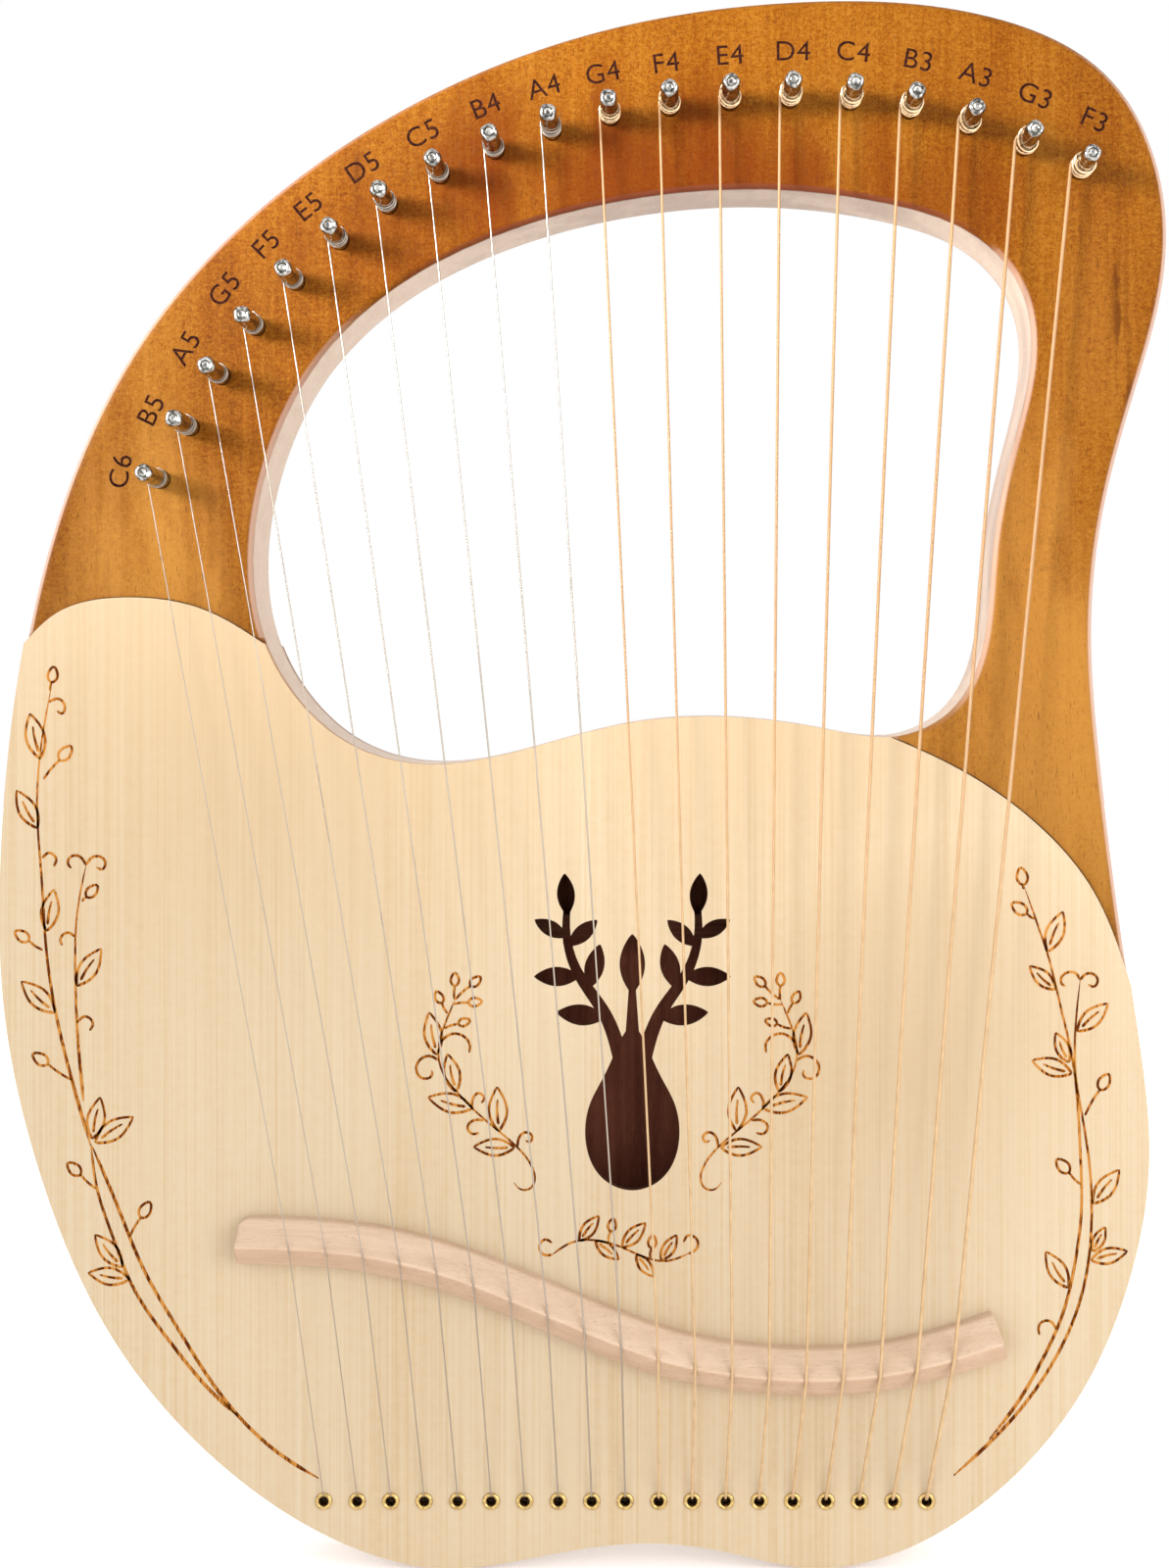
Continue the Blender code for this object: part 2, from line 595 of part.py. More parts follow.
def make_strings(ridge, group):
    """Each string from its ball end at the back, over the bridge, to its pin."""
    everything = zip(NOTES, pin_points(), anchor_points(), string_radii())
    for number, (note, pin, anchor, radius) in enumerate(everything):
        crossing = ridge_point(ridge, STRING_FIRST + STRING_PITCH * number)
        top = tangent_point(pin, PIN_RADIUS + GAP + radius, crossing)
        ridge_y = FRONT_Y - RIDGE_HEIGHT - GAP - radius
        ball_back = BACK_Y - 0.6
        ball_front = ball_back - BALL_LENGTH
        route = [(anchor[0], ball_back, anchor[1], BALL_RADIUS), (anchor[0], ball_front, anchor[1], BALL_RADIUS),
                 (anchor[0], ball_front - 0.2, anchor[1], radius)]
        route += eyelet_bend(anchor, crossing, ridge_y, radius)
        route.append((crossing[0], ridge_y, crossing[1], radius))
        route.append((top[0], NECK_Y - STRING_LIFT, top[1], radius))
        surface = "steel_string" if note in PLAIN_NOTES else "bronze_string"
        finish(tube(f"string_{note}", route), surface, group)


def eyelet_bend(anchor, crossing, ridge_y, radius):
    """The turn of a string out of its eyelet and up towards the bridge."""
    mouth = Vector((anchor[0], FRONT_Y - 0.4, anchor[1]))
    towards = Vector((crossing[0], ridge_y, crossing[1])) - mouth
    towards.normalize()
    ahead = Vector((0, -1, 0))
    points = []
    for step in range(BEND_STEPS + 1):
        part = step / BEND_STEPS
        spot = mouth - ahead * BEND_RADIUS * (1 - part) ** 2 + towards * BEND_RADIUS * part ** 2
        points.append((*spot, radius))
    return points


def centre_on_origin(outer):
    """Move everything so that the outline stands on Z = 0 and is centred on X = 0."""
    xs, zs = zip(*outer)
    shift = Vector((-(min(xs) + max(xs)) / 2 * MM, 0, -min(zs) * MM))
    for piece in list(harp.objects) + list(cutters.objects):
        piece.location += shift


for old in list(bpy.data.objects):
    bpy.data.objects.remove(old)

harp = collection("lyre_harp")
cutters = collection("cutters")
outer_line = smooth_curve(OUTLINE, OUTLINE_STEPS, True)
opening_line = smooth_curve(OPENING, OPENING_STEPS, True)
ridge_line = smooth_curve(RIDGE, RIDGE_STEPS, False)
left_border, right_border = border_lines(outer_line, opening_line)
board_line = board_outline(outer_line, opening_line, left_border, right_border)

make_frame(outer_line, opening_line, rebate_outline(left_border, right_border), harp)
make_soundboard(board_line, harp)
make_back_board(board_line, left_border + right_border, harp)
make_bridge(ridge_line, harp)
make_bridge_plate(ridge_line, harp)
for brace_name, brace_z, brace_half, brace_x in FRONT_BRACES:
    make_brace(brace_name, brace_z, brace_half, brace_x, FRONT_Y + BOARD, FRONT_BRACE_HEIGHT, harp)
for brace_name, brace_z, brace_half, brace_x in BACK_BRACES:
    make_brace(brace_name, brace_z, brace_half, brace_x, BACK_Y - BOARD, -BACK_BRACE_HEIGHT, harp)
make_pins(harp)
make_strings(ridge_line, harp)
centre_on_origin(outer_line)
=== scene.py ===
"""Looks of the nineteen-string lyre harp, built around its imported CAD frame.

+Z is up, +X is to the player's right and the soundboard faces -Y. Lengths are
written in millimetres and turned into metres by MM. The outlines repeat the
CAD part's driving points and are drawn here with FINE times as many steps, the
chamber, which hardly shows, with twice as many.
"""

from math import atan2, cos, pi, radians, sin

import bmesh
import bpy
import numpy as np
from mathutils import Matrix, Vector


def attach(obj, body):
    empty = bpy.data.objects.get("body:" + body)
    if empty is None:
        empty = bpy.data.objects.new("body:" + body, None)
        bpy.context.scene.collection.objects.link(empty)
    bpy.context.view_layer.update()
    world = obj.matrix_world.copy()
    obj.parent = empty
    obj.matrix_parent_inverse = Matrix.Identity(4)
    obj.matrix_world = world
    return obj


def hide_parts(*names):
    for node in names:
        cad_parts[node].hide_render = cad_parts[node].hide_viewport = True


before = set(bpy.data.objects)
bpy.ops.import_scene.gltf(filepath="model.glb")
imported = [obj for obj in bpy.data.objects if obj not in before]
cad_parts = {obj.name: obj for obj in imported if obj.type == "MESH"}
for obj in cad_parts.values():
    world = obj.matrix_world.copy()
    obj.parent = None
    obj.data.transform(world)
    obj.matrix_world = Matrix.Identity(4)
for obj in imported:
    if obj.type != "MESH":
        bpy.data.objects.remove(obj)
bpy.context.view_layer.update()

MM = 0.001
FINE = 4
SPLINE_STEPS = 40
GAP = 0.3
TINY = 0.01
THROUGH = 5.0
BODY = "harp_body"

# Edges sharper than these angles stay crisp: on cut pieces, on the bridge and ink, on wire.
SMOOTH_BELOW = 40.0
CRISP_BELOW = 30.0
WIRE_BELOW = 60.0

# Sides of round pieces, and a direction that no wire starts along.
PIN_SIDES = 48
EYELET_SIDES = 40
BALL_SIDES = 32
HOLE_SIDES = 32
CROSS_HOLE_SIDES = 20
WIRE_SIDES = 12
SWEEP_START = (0.31, 0.17, 0.93)

# Depths, front to back.
BOARD = 3.0
BACK_Y = 23.75
FRONT_Y = -4.25
NECK_Y = -2.75
CORE_FRONT_Y = FRONT_Y + BOARD + GAP
CORE_BACK_Y = BACK_Y - BOARD - GAP
FRAME_ROUND = 2.4
BACK_ROUND = 0.9 * FRAME_ROUND
BOARD_ROUND = 0.8

# Outline of the whole harp, clockwise from the top of the yoke, as (x, z).
OUTLINE = [
    (62.7, 440.6), (112.3, 436.9), (147.3, 419.7), (162.0, 392.0), (163.6, 366.0),
    (155.0, 330.3), (145.4, 292.5), (142.9, 259.0), (144.9, 230.0), (149.6, 190.0),
    (155.4, 150.0), (158.5, 114.0), (152.4, 79.0), (138.4, 47.5), (117.0, 22.5),
    (94.0, 7.0), (62.7, 0.0), (40.5, 4.3), (18.5, 6.9), (-5.0, 4.6),
    (-42.0, 0.0), (-68.0, 7.0), (-99.0, 26.5), (-132.5, 64.5), (-152.0, 108.0),
    (-163.2, 159.0), (-163.9, 200.0), (-159.0, 250.0), (-147.0, 300.0), (-125.5, 344.5),
    (-88.0, 385.3), (-42.0, 415.0), (8.0, 433.2),
]
OUTLINE_STEPS = 92
OPENING = [
    (50.6, 387.6), (87.0, 383.2), (111.0, 373.8), (123.0, 359.5), (126.0, 343.5),
    (121.0, 316.0), (115.1, 286.0), (112.9, 262.0), (104.5, 242.0), (88.5, 233.5),
    (68.0, 235.4), (40.0, 238.8), (12.0, 237.0), (-16.7, 229.7), (-43.0, 225.5),
    (-65.0, 230.7), (-80.0, 243.0), (-90.5, 261.5), (-93.6, 280.0), (-89.5, 309.5),
    (-77.0, 336.5), (-56.5, 357.6), (-27.0, 373.8), (10.0, 384.3),
]
OPENING_STEPS = 60
CHAMBER = [
    (-127.0, 256.0), (-106.0, 247.0), (-88.0, 229.0), (-65.0, 217.0), (-42.0, 213.0),
    (-14.0, 218.0), (18.0, 226.0), (50.0, 226.0), (84.0, 220.0), (112.0, 208.0),
    (132.0, 187.0), (144.5, 158.0), (148.5, 124.0), (143.0, 88.0), (128.0, 57.0),
    (106.0, 37.0), (60.0, 30.0), (0.0, 29.0), (-60.0, 30.0), (-96.0, 42.0),
    (-124.0, 74.0), (-143.0, 112.0), (-153.0, 160.0), (-154.0, 202.0), (-147.0, 242.0),
]
CHAMBER_STEPS = 56
LEFT_BORDER_ENDS = [(-158.1, 259.4), (-91.7, 260.8)]
LEFT_BORDER = [(-149.0, 267.5), (-127.5, 272.4), (-106.5, 268.8)]
RIGHT_BORDER_ENDS = [(84.5, 232.9), (153.7, 166.8)]
RIGHT_BORDER = [(105.2, 224.1), (126.1, 209.5), (141.8, 191.6)]
BORDER_STEPS = 9
BORDER_REACH = 5.0

# The rebate under a board runs past the rim and across the hand opening.
ACROSS_OPENING = [(-84.0, 262.0), (-60.0, 252.0), (60.0, 252.0), (84.5, 240.0)]
OUTSIDE = 175.0
BELOW = 20.0

# Strings, treble to bass.
PLAIN_NOTES = ["C6", "B5", "A5", "G5", "F5", "E5", "D5", "C5", "B4", "A4"]
WOUND_NOTES = ["G4", "F4", "E4", "D4", "C4", "B3", "A3", "G3", "F3"]
NOTES = PLAIN_NOTES + WOUND_NOTES
PLAIN_DIAMETER = (0.30, 0.50)
WOUND_DIAMETER = (0.65, 1.05)
BALL_RADIUS = 2.0
BALL_LENGTH = 3.6
BALL_SUNK = 0.6

# Tuning pins.
PIN_LINE = [(-119.2, 305.6), (-91.8, 349.3), (-55.0, 382.9), (-8.7, 403.7), (41.5, 411.9),
            (91.6, 409.4), (138.9, 392.5)]
PIN_RADIUS = 2.5
PIN_DEPTH = 20.5
PIN_HOLE_RADIUS = 2.65
PIN_HOLE_DEPTH = 21.5
STRING_LIFT = 5.0
STRING_STEPS = 24
STRING_FOOT_STEPS = 40

# Turns of string on a pin, and the cross hole that they end in. The shares say how thick the wire
# is there: a wound string is down to its core.
COIL_CLEARANCE = 0.04
COIL_TURNS = 1.6
COIL_SPACING = 1.7
COIL_STEPS = 40
TAIL_STEPS = 24
CROSS_HOLE_CLEARANCE = 0.25
CROSS_HOLE_RISE = 1.2
CROSS_HOLE_LENGTH = 9.0
CORE_SHARE = 0.64
PLAIN_SHARE = 0.9

# Anchor holes and eyelets.
ANCHOR_FIRST = -73.2
ANCHOR_PITCH = 9.4
ANCHOR_Z = 18.8
ANCHOR_RADIUS = 1.6
EYELET_SEAT_RADIUS = 2.0
EYELET_LIP = 0.72
EYELET_REACH = 1.95
BALL_SEAT_RADIUS = 2.6
BALL_SEAT_DEPTH = 5.0

# Bridge.
RIDGE = [(-96.7, 92.1), (-80.0, 91.7), (-60.0, 89.7), (-38.0, 84.4), (-14.0, 75.1), (6.5, 66.5),
         (24.0, 60.4), (44.0, 56.7), (66.5, 55.5), (89.5, 57.9), (116.4, 65.6)]
RIDGE_STEPS = 520
RIDGE_HEIGHT = 9.0
BRIDGE_UPPER = 7.0
BRIDGE_LOWER = 5.6
BRIDGE_UPPER_HEIGHT = 3.6
BRIDGE_LOWER_HEIGHT = 4.6
BRIDGE_CROWN = 0.4
BRIDGE_CORNER = 0.45
BRIDGE_END_ROUND = 3.6
STRING_FIRST = -81.3
STRING_PITCH = 10.22
NOTCH_DEPTH = 0.1
NOTCH_SHARE = 0.35
NOTCH_MARGIN = 0.25
BRIDGE_FOOT = 0.02
CORNER_STEPS = 5

# Sound hole: a seed pod with two leafy branches and a bud, measured from the pod's foot.
POD_X = 13.4
POD_FOOT = 106.0
POD = [(0.0, 0.0), (8.5, 3.5), (13.0, 13.0), (12.0, 24.0), (7.0, 34.0), (0.0, 46.0)]
POD_STEPS = 26
BRANCH = [(3.0, 36.0), (8.0, 50.0), (15.0, 60.5), (18.5, 72.0), (18.0, 82.0)]
BRANCH_STEPS = 6
BRANCH_WIDTH = (4.4, 1.8)
BUD_STEM = [(0.0, 40.0), (0.0, 50.0), (0.0, 58.0)]
LEAVES = [(7.4, 48.5, 14.0, 6.0), (14.6, 60.0, 13.0, 0.0), (12.2, 56.5, 13.0, 104.0),
          (18.2, 71.0, 10.5, 28.0), (18.0, 68.5, 11.0, 138.0), (18.2, 77.0, 12.0, 86.0)]
BUD = (0.0, 55.0, 17.0, 90.0)
LEAF_WIDTH = 0.42
LEAF_STEPS = 6
HOLE_HALF_WIDTH = 40.0
HOLE_HEIGHT = (-3.0, 95.0)

# Burnt drawing on the soundboard. A stem is its points and the widths at its two ends. A leaf is
# its root, length and direction; a berry adds the length of its stalk; a curl is its own points.
LEFT_VINE = {
    "stems": [
        ([(-149.6, 247.5), (-152.6, 230.0), (-153.6, 212.0), (-152.4, 194.0), (-151.0, 173.0),
          (-147.6, 152.0), (-143.2, 134.5), (-138.6, 118.6)], (0.35, 0.85)),
        ([(-139.9, 197.2), (-142.4, 183.5), (-142.9, 168.0), (-142.3, 150.0), (-140.6, 131.0)],
         (0.35, 0.8)),
        ([(-138.5, 119.0), (-136.8, 106.5), (-132.4, 93.0), (-126.6, 78.6), (-116.4, 63.6),
          (-104.6, 49.4), (-97.5, 42.8)], (0.6, 0.9)),
        ([(-138.2, 118.4), (-130.6, 100.4), (-123.6, 83.6), (-114.0, 67.0), (-104.2, 51.6),
          (-92.6, 38.0), (-82.6, 30.0), (-74.6, 25.2)], (0.75, 0.85)),
    ],
    "leaves": [(-152.7, 227.0, 13.2, 103.0), (-153.5, 207.6, 12.2, 119.0), (-151.0, 178.7, 12.0, 80.0),
               (-148.6, 155.8, 13.0, 137.0), (-142.5, 163.3, 12.6, 57.0), (-138.2, 120.4, 12.0, 79.0),
               (-137.4, 119.4, 13.0, 34.0), (-129.7, 84.4, 12.0, 130.0), (-127.7, 81.0, 11.8, 171.0)],
    "berries": [(-149.9, 246.0, 2.6, 82.0, 4.4), (-151.8, 221.4, 7.0, 50.0, 5.0),
                (-140.9, 187.0, 1.8, 48.0, 4.4), (-152.0, 173.4, 4.8, 146.0, 4.6),
                (-144.0, 137.0, 8.0, 146.0, 5.0), (-137.0, 106.4, 6.0, 138.0, 4.8),
                (-127.6, 93.0, 6.2, 60.0, 5.0)],
    "curls": [[(-150.4, 243.0), (-147.6, 243.9), (-145.9, 242.0), (-146.6, 239.8), (-148.0, 240.6)],
              [(-152.2, 199.2), (-150.2, 200.7), (-148.3, 199.0), (-149.0, 196.9)],
              [(-139.9, 197.2), (-141.9, 199.8), (-144.2, 199.6), (-145.0, 197.8), (-144.0, 196.4)],
              [(-139.9, 197.2), (-138.0, 199.5), (-135.8, 199.6), (-134.5, 198.0), (-135.3, 196.1),
               (-137.0, 196.7)],
              [(-143.0, 177.2), (-145.2, 178.3), (-147.0, 176.8), (-146.6, 174.7)],
              [(-142.5, 153.0), (-140.0, 154.8), (-138.0, 153.0), (-138.9, 150.8)]],
}
RIGHT_VINE = {
    "stems": [
        ([(123.4, 191.2), (127.0, 181.0), (130.6, 170.0), (133.6, 157.5), (136.6, 144.6),
          (138.4, 130.0), (139.2, 115.0), (139.4, 100.0), (137.8, 86.6), (134.2, 71.4),
          (128.2, 58.0), (121.2, 46.0), (113.6, 36.2)], (0.45, 0.85)),
        ([(139.1, 165.2), (137.8, 152.0), (137.8, 139.0), (139.8, 126.0), (141.8, 112.0),
          (142.3, 98.0), (141.2, 84.6), (136.8, 68.6), (130.4, 56.0), (122.0, 44.2),
          (112.8, 34.4), (103.6, 26.0)], (0.45, 0.85)),
    ],
    "leaves": [(129.9, 172.9, 12.2, 69.0), (132.2, 162.3, 10.0, 138.0), (138.2, 150.6, 11.8, 42.0),
               (135.9, 141.9, 9.2, 114.0), (136.8, 138.8, 11.9, 162.0), (142.6, 102.2, 12.2, 52.0),
               (142.1, 86.4, 10.6, 14.0), (142.6, 88.8, 7.8, 63.0), (135.8, 78.6, 12.1, 122.0)],
    "berries": [(123.4, 190.6, 1.2, 100.0, 4.8), (126.4, 182.2, 2.8, 146.0, 5.0),
                (140.4, 127.0, 8.4, 60.0, 5.0), (139.3, 107.6, 4.8, 134.0, 5.0)],
    "curls": [[(132.3, 67.0), (130.8, 69.2), (128.6, 69.2), (127.4, 67.4), (127.8, 65.4)],
              [(139.1, 165.0), (137.7, 167.0), (135.7, 167.2), (133.9, 165.9), (133.8, 164.1),
               (135.0, 163.3)],
              [(139.1, 165.0), (140.9, 166.8), (143.1, 166.5), (144.0, 164.8), (143.0, 163.2),
               (141.4, 163.8)]],
}
LAUREL = {
    "stems": [([(-19.8, 108.2), (-17.9, 106.3), (-15.4, 106.5), (-14.0, 108.8), (-14.6, 112.2),
                (-18.0, 117.2), (-23.6, 122.2), (-30.4, 128.0), (-36.0, 133.8), (-40.0, 139.6),
                (-41.0, 145.2), (-39.0, 153.2), (-36.4, 159.4)], (0.5, 0.45))],
    "leaves": [(-41.5, 144.0, 12.2, 100.0), (-36.0, 133.6, 11.0, 103.0), (-31.4, 129.0, 13.0, 166.0),
               (-24.1, 122.5, 12.6, 92.0), (-19.6, 118.0, 11.6, 179.0)],
    "berries": [(-36.4, 159.4, 4.0, 90.0, 3.6), (-36.2, 159.6, 5.6, 42.0, 3.8),
                (-38.4, 155.6, 3.4, 118.0, 3.6), (-36.8, 158.2, 4.2, 6.0, 3.8),
                (-39.4, 151.4, 4.2, 18.0, 3.4)],
    "curls": [[(-40.4, 147.6), (-37.6, 149.8), (-34.2, 149.4), (-32.2, 146.8), (-32.4, 144.6)],
              [(-40.9, 142.4), (-43.5, 143.7), (-46.4, 142.4), (-47.2, 139.6), (-45.3, 137.4),
               (-42.9, 138.2), (-42.9, 139.8)],
              [(-31.4, 128.6), (-31.4, 131.6), (-29.7, 133.3), (-28.2, 132.0), (-29.0, 130.5)],
              [(-28.3, 125.6), (-31.2, 125.6), (-32.8, 123.8), (-31.6, 121.9), (-29.6, 122.2)],
              [(-18.8, 118.2), (-18.3, 120.9), (-16.5, 122.3), (-14.7, 121.1), (-15.3, 119.6),
               (-16.5, 120.0)]],
}
LAUREL_MIRROR_X = 9.3
FLOURISH = {
    "stems": [([(-9.0, 88.0), (-3.5, 91.4), (3.0, 92.0), (10.0, 90.2), (16.5, 87.4), (23.0, 86.2),
                (29.0, 88.2)], (0.5, 0.5))],
    "leaves": [(-1.5, 91.8, 9.0, 52.0), (3.0, 91.8, 8.5, -38.0), (10.5, 90.0, 9.6, 46.0),
               (14.5, 88.0, 8.0, -52.0), (21.5, 86.4, 8.4, 58.0)],
    "berries": [(6.7, 91.4, 3.2, 78.0, 3.6), (18.5, 86.8, 3.0, 84.0, 3.6)],
    "curls": [[(-9.0, 88.0), (-11.5, 88.0), (-12.7, 90.2), (-11.1, 92.2), (-9.1, 91.2)],
              [(29.0, 88.2), (31.4, 89.6), (31.4, 92.4), (29.0, 93.3), (27.8, 91.4)]],
}
INK_WIDTH = 0.72
INK_SPREAD = 1.25
INK_STEP = 0.45
INK_PROUD = 0.03
INK_SUNK = 0.12

# Half a leaf, its vein and a berry, as parts of the length ahead of the root and to its left.
LEAF_SIDE = [(0.0, 0.0), (0.2, 0.13), (0.48, 0.2), (0.78, 0.12), (1.0, 0.0)]
LEAF_VEIN = [(0.16, 0.0), (0.45, 0.02), (0.72, 0.0)]
BERRY = [(0.0, 0.0), (0.3, 0.3), (0.65, 0.27), (1.0, 0.0), (0.65, -0.27), (0.3, -0.3)]

# Note names beside the pins: distance outwards, and how far each one wanders along the row.
LABEL_OUT = [(0, 10.9), (3, 13.4), (7, 12.4), (11, 12.4), (14, 13.9), (18, 14.7)]
LABEL_ALONG = [-3.5, -1.5, 1.0, 2.7, 1.6, -0.8, -0.3, 0.8, 2.0, 1.3, 0.3, 0.5, 0.9, 0.9, -0.2, -0.3,
               -1.9, -2.2, -1.4]
LABEL_LEAN = [(0, 19.0), (1, 4.0), (3, 0.0), (18, 0.0)]
LABEL_SIZE = 7.9
LABEL_THICKNESS = 0.06
LABEL_SPACING = 1.08
LABEL_SUNK = 0.02

# Patches as (x, z, half width, half height, share). The stain is deeper under the yoke, partly real stain and
# partly painted shade of the pins, and thinner low on the arms; the bare wood is darker at the right, and at
# the top with painted shade on the downward-facing wall;
# painted shade darkens the spruce towards its top to even out the key lamp's light.
STAIN_DEEP_AND_PIN_SHADE = [(18.0, 390.0, 95.0, 34.0, 0.75), (-45.0, 372.0, 50.0, 26.0, 0.4),
              (100.0, 384.0, 40.0, 22.0, 0.4)]
STAIN_THIN = [(126.0, 225.0, 70.0, 110.0, 0.50), (-122.0, 262.0, 55.0, 65.0, 0.50),
              (143.0, 345.0, 22.0, 50.0, 0.10)]
BARE_DARK_AND_SHADE = [(115.0, 318.0, 22.0, 95.0, 0.7), (25.0, 395.0, 110.0, 40.0, 0.6)]
SPRUCE_PAINTED_SHADE = [(-75.0, 275.0, 150.0, 150.0, 0.75), (60.0, 260.0, 130.0, 110.0, 0.6),
               (95.0, 165.0, 80.0, 90.0, 0.45)]
# Dark mineral streaks in the wood: (x, half width, low z, high z).
MINERAL_STREAKS = [(151.5, 3.4, 296.0, 396.0), (-61.0, 1.6, 380.0, 412.0)]
# The frame's rounded edges take painted shade and a painted highlight between these depths, mixed differently
# near the opening.
EDGE_START = 0.15
EDGE_END = FRAME_ROUND - 0.1
EDGE_NEAR = 4.0
WINDING_PITCH = 0.34

# The stage, in metres and watts. A lamp is its name, place, aim, size, spread and power.
LAMPS = [("gridded_key", (-0.40, -0.42, 0.47), (0.01, 0.0, 0.42), 0.20, 46.0, 0.80),
         ("right_fill", (0.80, -0.85, 0.42), (0.02, 0.0, 0.2), 0.90, 180.0, 7.6),
         ("left_fill", (-0.80, -1.00, 0.45), (0.0, 0.0, 0.2), 0.90, 180.0, 2.6),
         ("rear_fill", (0.10, 1.25, 1.20), (0.0, 0.0, 0.25), 0.90, 180.0, 4.0)]
FLOOR_RADIUS = 4.0
FLOOR_SIDES = 96
FLOOR_DROP = 0.0004
FLOOR_GLOW = 0.34
CAMERA_PLACE = (0.0258, -0.60275, 0.2476)
CAMERA_SENSOR = 36.0
CAMERA_LENS = 48.97
CAMERA_SHIFT = (-0.0584, -0.0625)


# ---------------------------------------------------------------- lines and outlines

def smooth_curve(points, steps, closed):
    """Evenly spaced points on the cubic spline through points."""
    knots = np.array(list(points) + list(points[:1]) if closed else points, dtype=float)
    length = np.linalg.norm(np.diff(knots, axis=0), axis=1)
    where = distance_along(knots)
    slope = spline_slopes(knots, length, closed)
    fine = np.linspace(0.0, where[-1], SPLINE_STEPS * len(knots))
    span = np.clip(np.searchsorted(where, fine, side="right") - 1, 0, len(length) - 1)
    size = length[span][:, None]
    part = (fine - where[span])[:, None] / size
    start = knots[span] * (1 + 2 * part) * (1 - part) ** 2 + slope[span] * size * part * (1 - part) ** 2
    end = knots[span + 1] * (3 - 2 * part) * part ** 2 + slope[span + 1] * size * (part - 1) * part ** 2
    return even_points(start + end, steps, closed)


def spline_slopes(knots, length, closed):
    """Slopes that make the spline's curvature continuous at each knot."""
    last = len(knots) - 1
    matrix = np.zeros((last + 1, last + 1))
    right = np.zeros_like(knots)
    rise = np.diff(knots, axis=0) / length[:, None]
    for row in range(1, last):
        before, after = length[row - 1], length[row]
        matrix[row, row - 1:row + 2] = [after, 2 * (before + after), before]
        right[row] = 3 * (after * rise[row - 1] + before * rise[row])
    if closed:
        before, after = length[-1], length[0]
        matrix[0, [last - 1, 0, 1]] = [after, 2 * (before + after), before]
        right[0] = 3 * (after * rise[-1] + before * rise[0])
        matrix[last, [0, last]] = [1, -1]
    else:
        matrix[0, :2] = [2, 1]
        right[0] = 3 * rise[0]
        matrix[last, last - 1:] = [1, 2]
        right[last] = 3 * rise[-1]
    return np.linalg.solve(matrix, right)


def distance_along(line):
    """How far along a line each of its points is."""
    return np.concatenate([[0.0], np.cumsum(np.linalg.norm(np.diff(line, axis=0), axis=1))])


def even_points(fine, steps, closed):
    """The same line with steps equal spans; a closed line's last point is left out."""
    walked = distance_along(fine)
    marks = np.linspace(0.0, walked[-1], steps + 1)
    even = np.stack([np.interp(marks, walked, fine[:, axis]) for axis in range(fine.shape[1])], axis=1)
    return [tuple(point) for point in (even[:-1] if closed else even)]


def nearest(points, target):
    """Index of the point closest to target."""
    return int(np.argmin([np.hypot(x - target[0], z - target[1]) for x, z in points]))


def stretch(points, first, last):
    """The points from first to last, walking on past the end of the list."""
    count = (last - first) % len(points)
    return [points[(first + step) % len(points)] for step in range(count + 1)]


def moved(points):
    """Points in the CAD's own frame, whose outline is centred on X = 0 and stands on Z = 0."""
    return [(x + SHIFT_X, z + SHIFT_Z) for x, z in points]


def border_lines(outer, opening):
    """The boards' upper edges over the left arm and the right arm, each from left to right."""
    coarse_outer, coarse_opening = outer[::FINE], opening[::FINE]
    left_start = coarse_outer[nearest(coarse_outer, LEFT_BORDER_ENDS[0])]
    left_end = coarse_opening[nearest(coarse_opening, LEFT_BORDER_ENDS[1])]
    right_start = coarse_opening[nearest(coarse_opening, RIGHT_BORDER_ENDS[0])]
    right_end = coarse_outer[nearest(coarse_outer, RIGHT_BORDER_ENDS[1])]
    left = smooth_curve([left_start] + LEFT_BORDER + [left_end], BORDER_STEPS * FINE, False)
    right = smooth_curve([right_start] + RIGHT_BORDER + [right_end], BORDER_STEPS * FINE, False)
    return left, right


def rebate_outline(left, right):
    """The area under a board, run out past the rim and into the hand opening."""
    left = [(x, z + GAP) for x, z in left]
    right = [(x + GAP, z + GAP) for x, z in right]
    outside = [(OUTSIDE, right[-1][1] - BELOW), (OUTSIDE, -BELOW), (-OUTSIDE, -BELOW),
               (-OUTSIDE, left[0][1] - BELOW)]
    return left + ACROSS_OPENING + right + outside


def board_outline(outer, opening, left, right):
    """Outline of the soundboard and of the back board."""
    along_opening = stretch(opening, nearest(opening, right[0]), nearest(opening, left[-1]))[::-1]
    around_body = stretch(outer, nearest(outer, right[-1]), nearest(outer, left[0]))
    return left + along_opening[1:-1] + right + around_body[1:-1]


def sound_hole_loops():
    """Outlines of the sound hole, which overlap into one opening."""
    pod = POD + [(-x, z) for x, z in POD[-2:0:-1]]
    loops = [smooth_curve(pod, POD_STEPS * FINE, True), branch_loop(BUD_STEM, 1), leaf_loop(*BUD, 1)]
    for side in (1, -1):
        loops.append(branch_loop(BRANCH, side))
        loops += [leaf_loop(*leaf, side) for leaf in LEAVES]
    return [[(POD_X + x, POD_FOOT + z) for x, z in loop] for loop in loops]


def branch_loop(points, side):
    """A tapering stem along points; side -1 mirrors it."""
    line = np.array(smooth_curve(points, BRANCH_STEPS * FINE, False))
    across = sideways(line) * np.linspace(*BRANCH_WIDTH, len(line))[:, None] / 2
    loop = list(line + across) + list(line - across)[::-1]
    return [(x * side, z) for x, z in loop]


def leaf_loop(x, z, length, angle, side):
    """A pointed leaf from its root at x and z; side -1 mirrors it."""
    turn = radians(angle)
    steps = LEAF_STEPS * FINE
    loop = []
    for half in (1, -1):
        for step in range(steps):
            part = step / steps if half == 1 else 1 - step / steps
            along = part * length
            across = half * LEAF_WIDTH / 2 * length * max(sin(pi * part), 0.0) ** 0.8
            loop.append((x + along * cos(turn) - across * sin(turn),
                         z + along * sin(turn) + across * cos(turn)))
    return [(x * side, z) for x, z in loop]


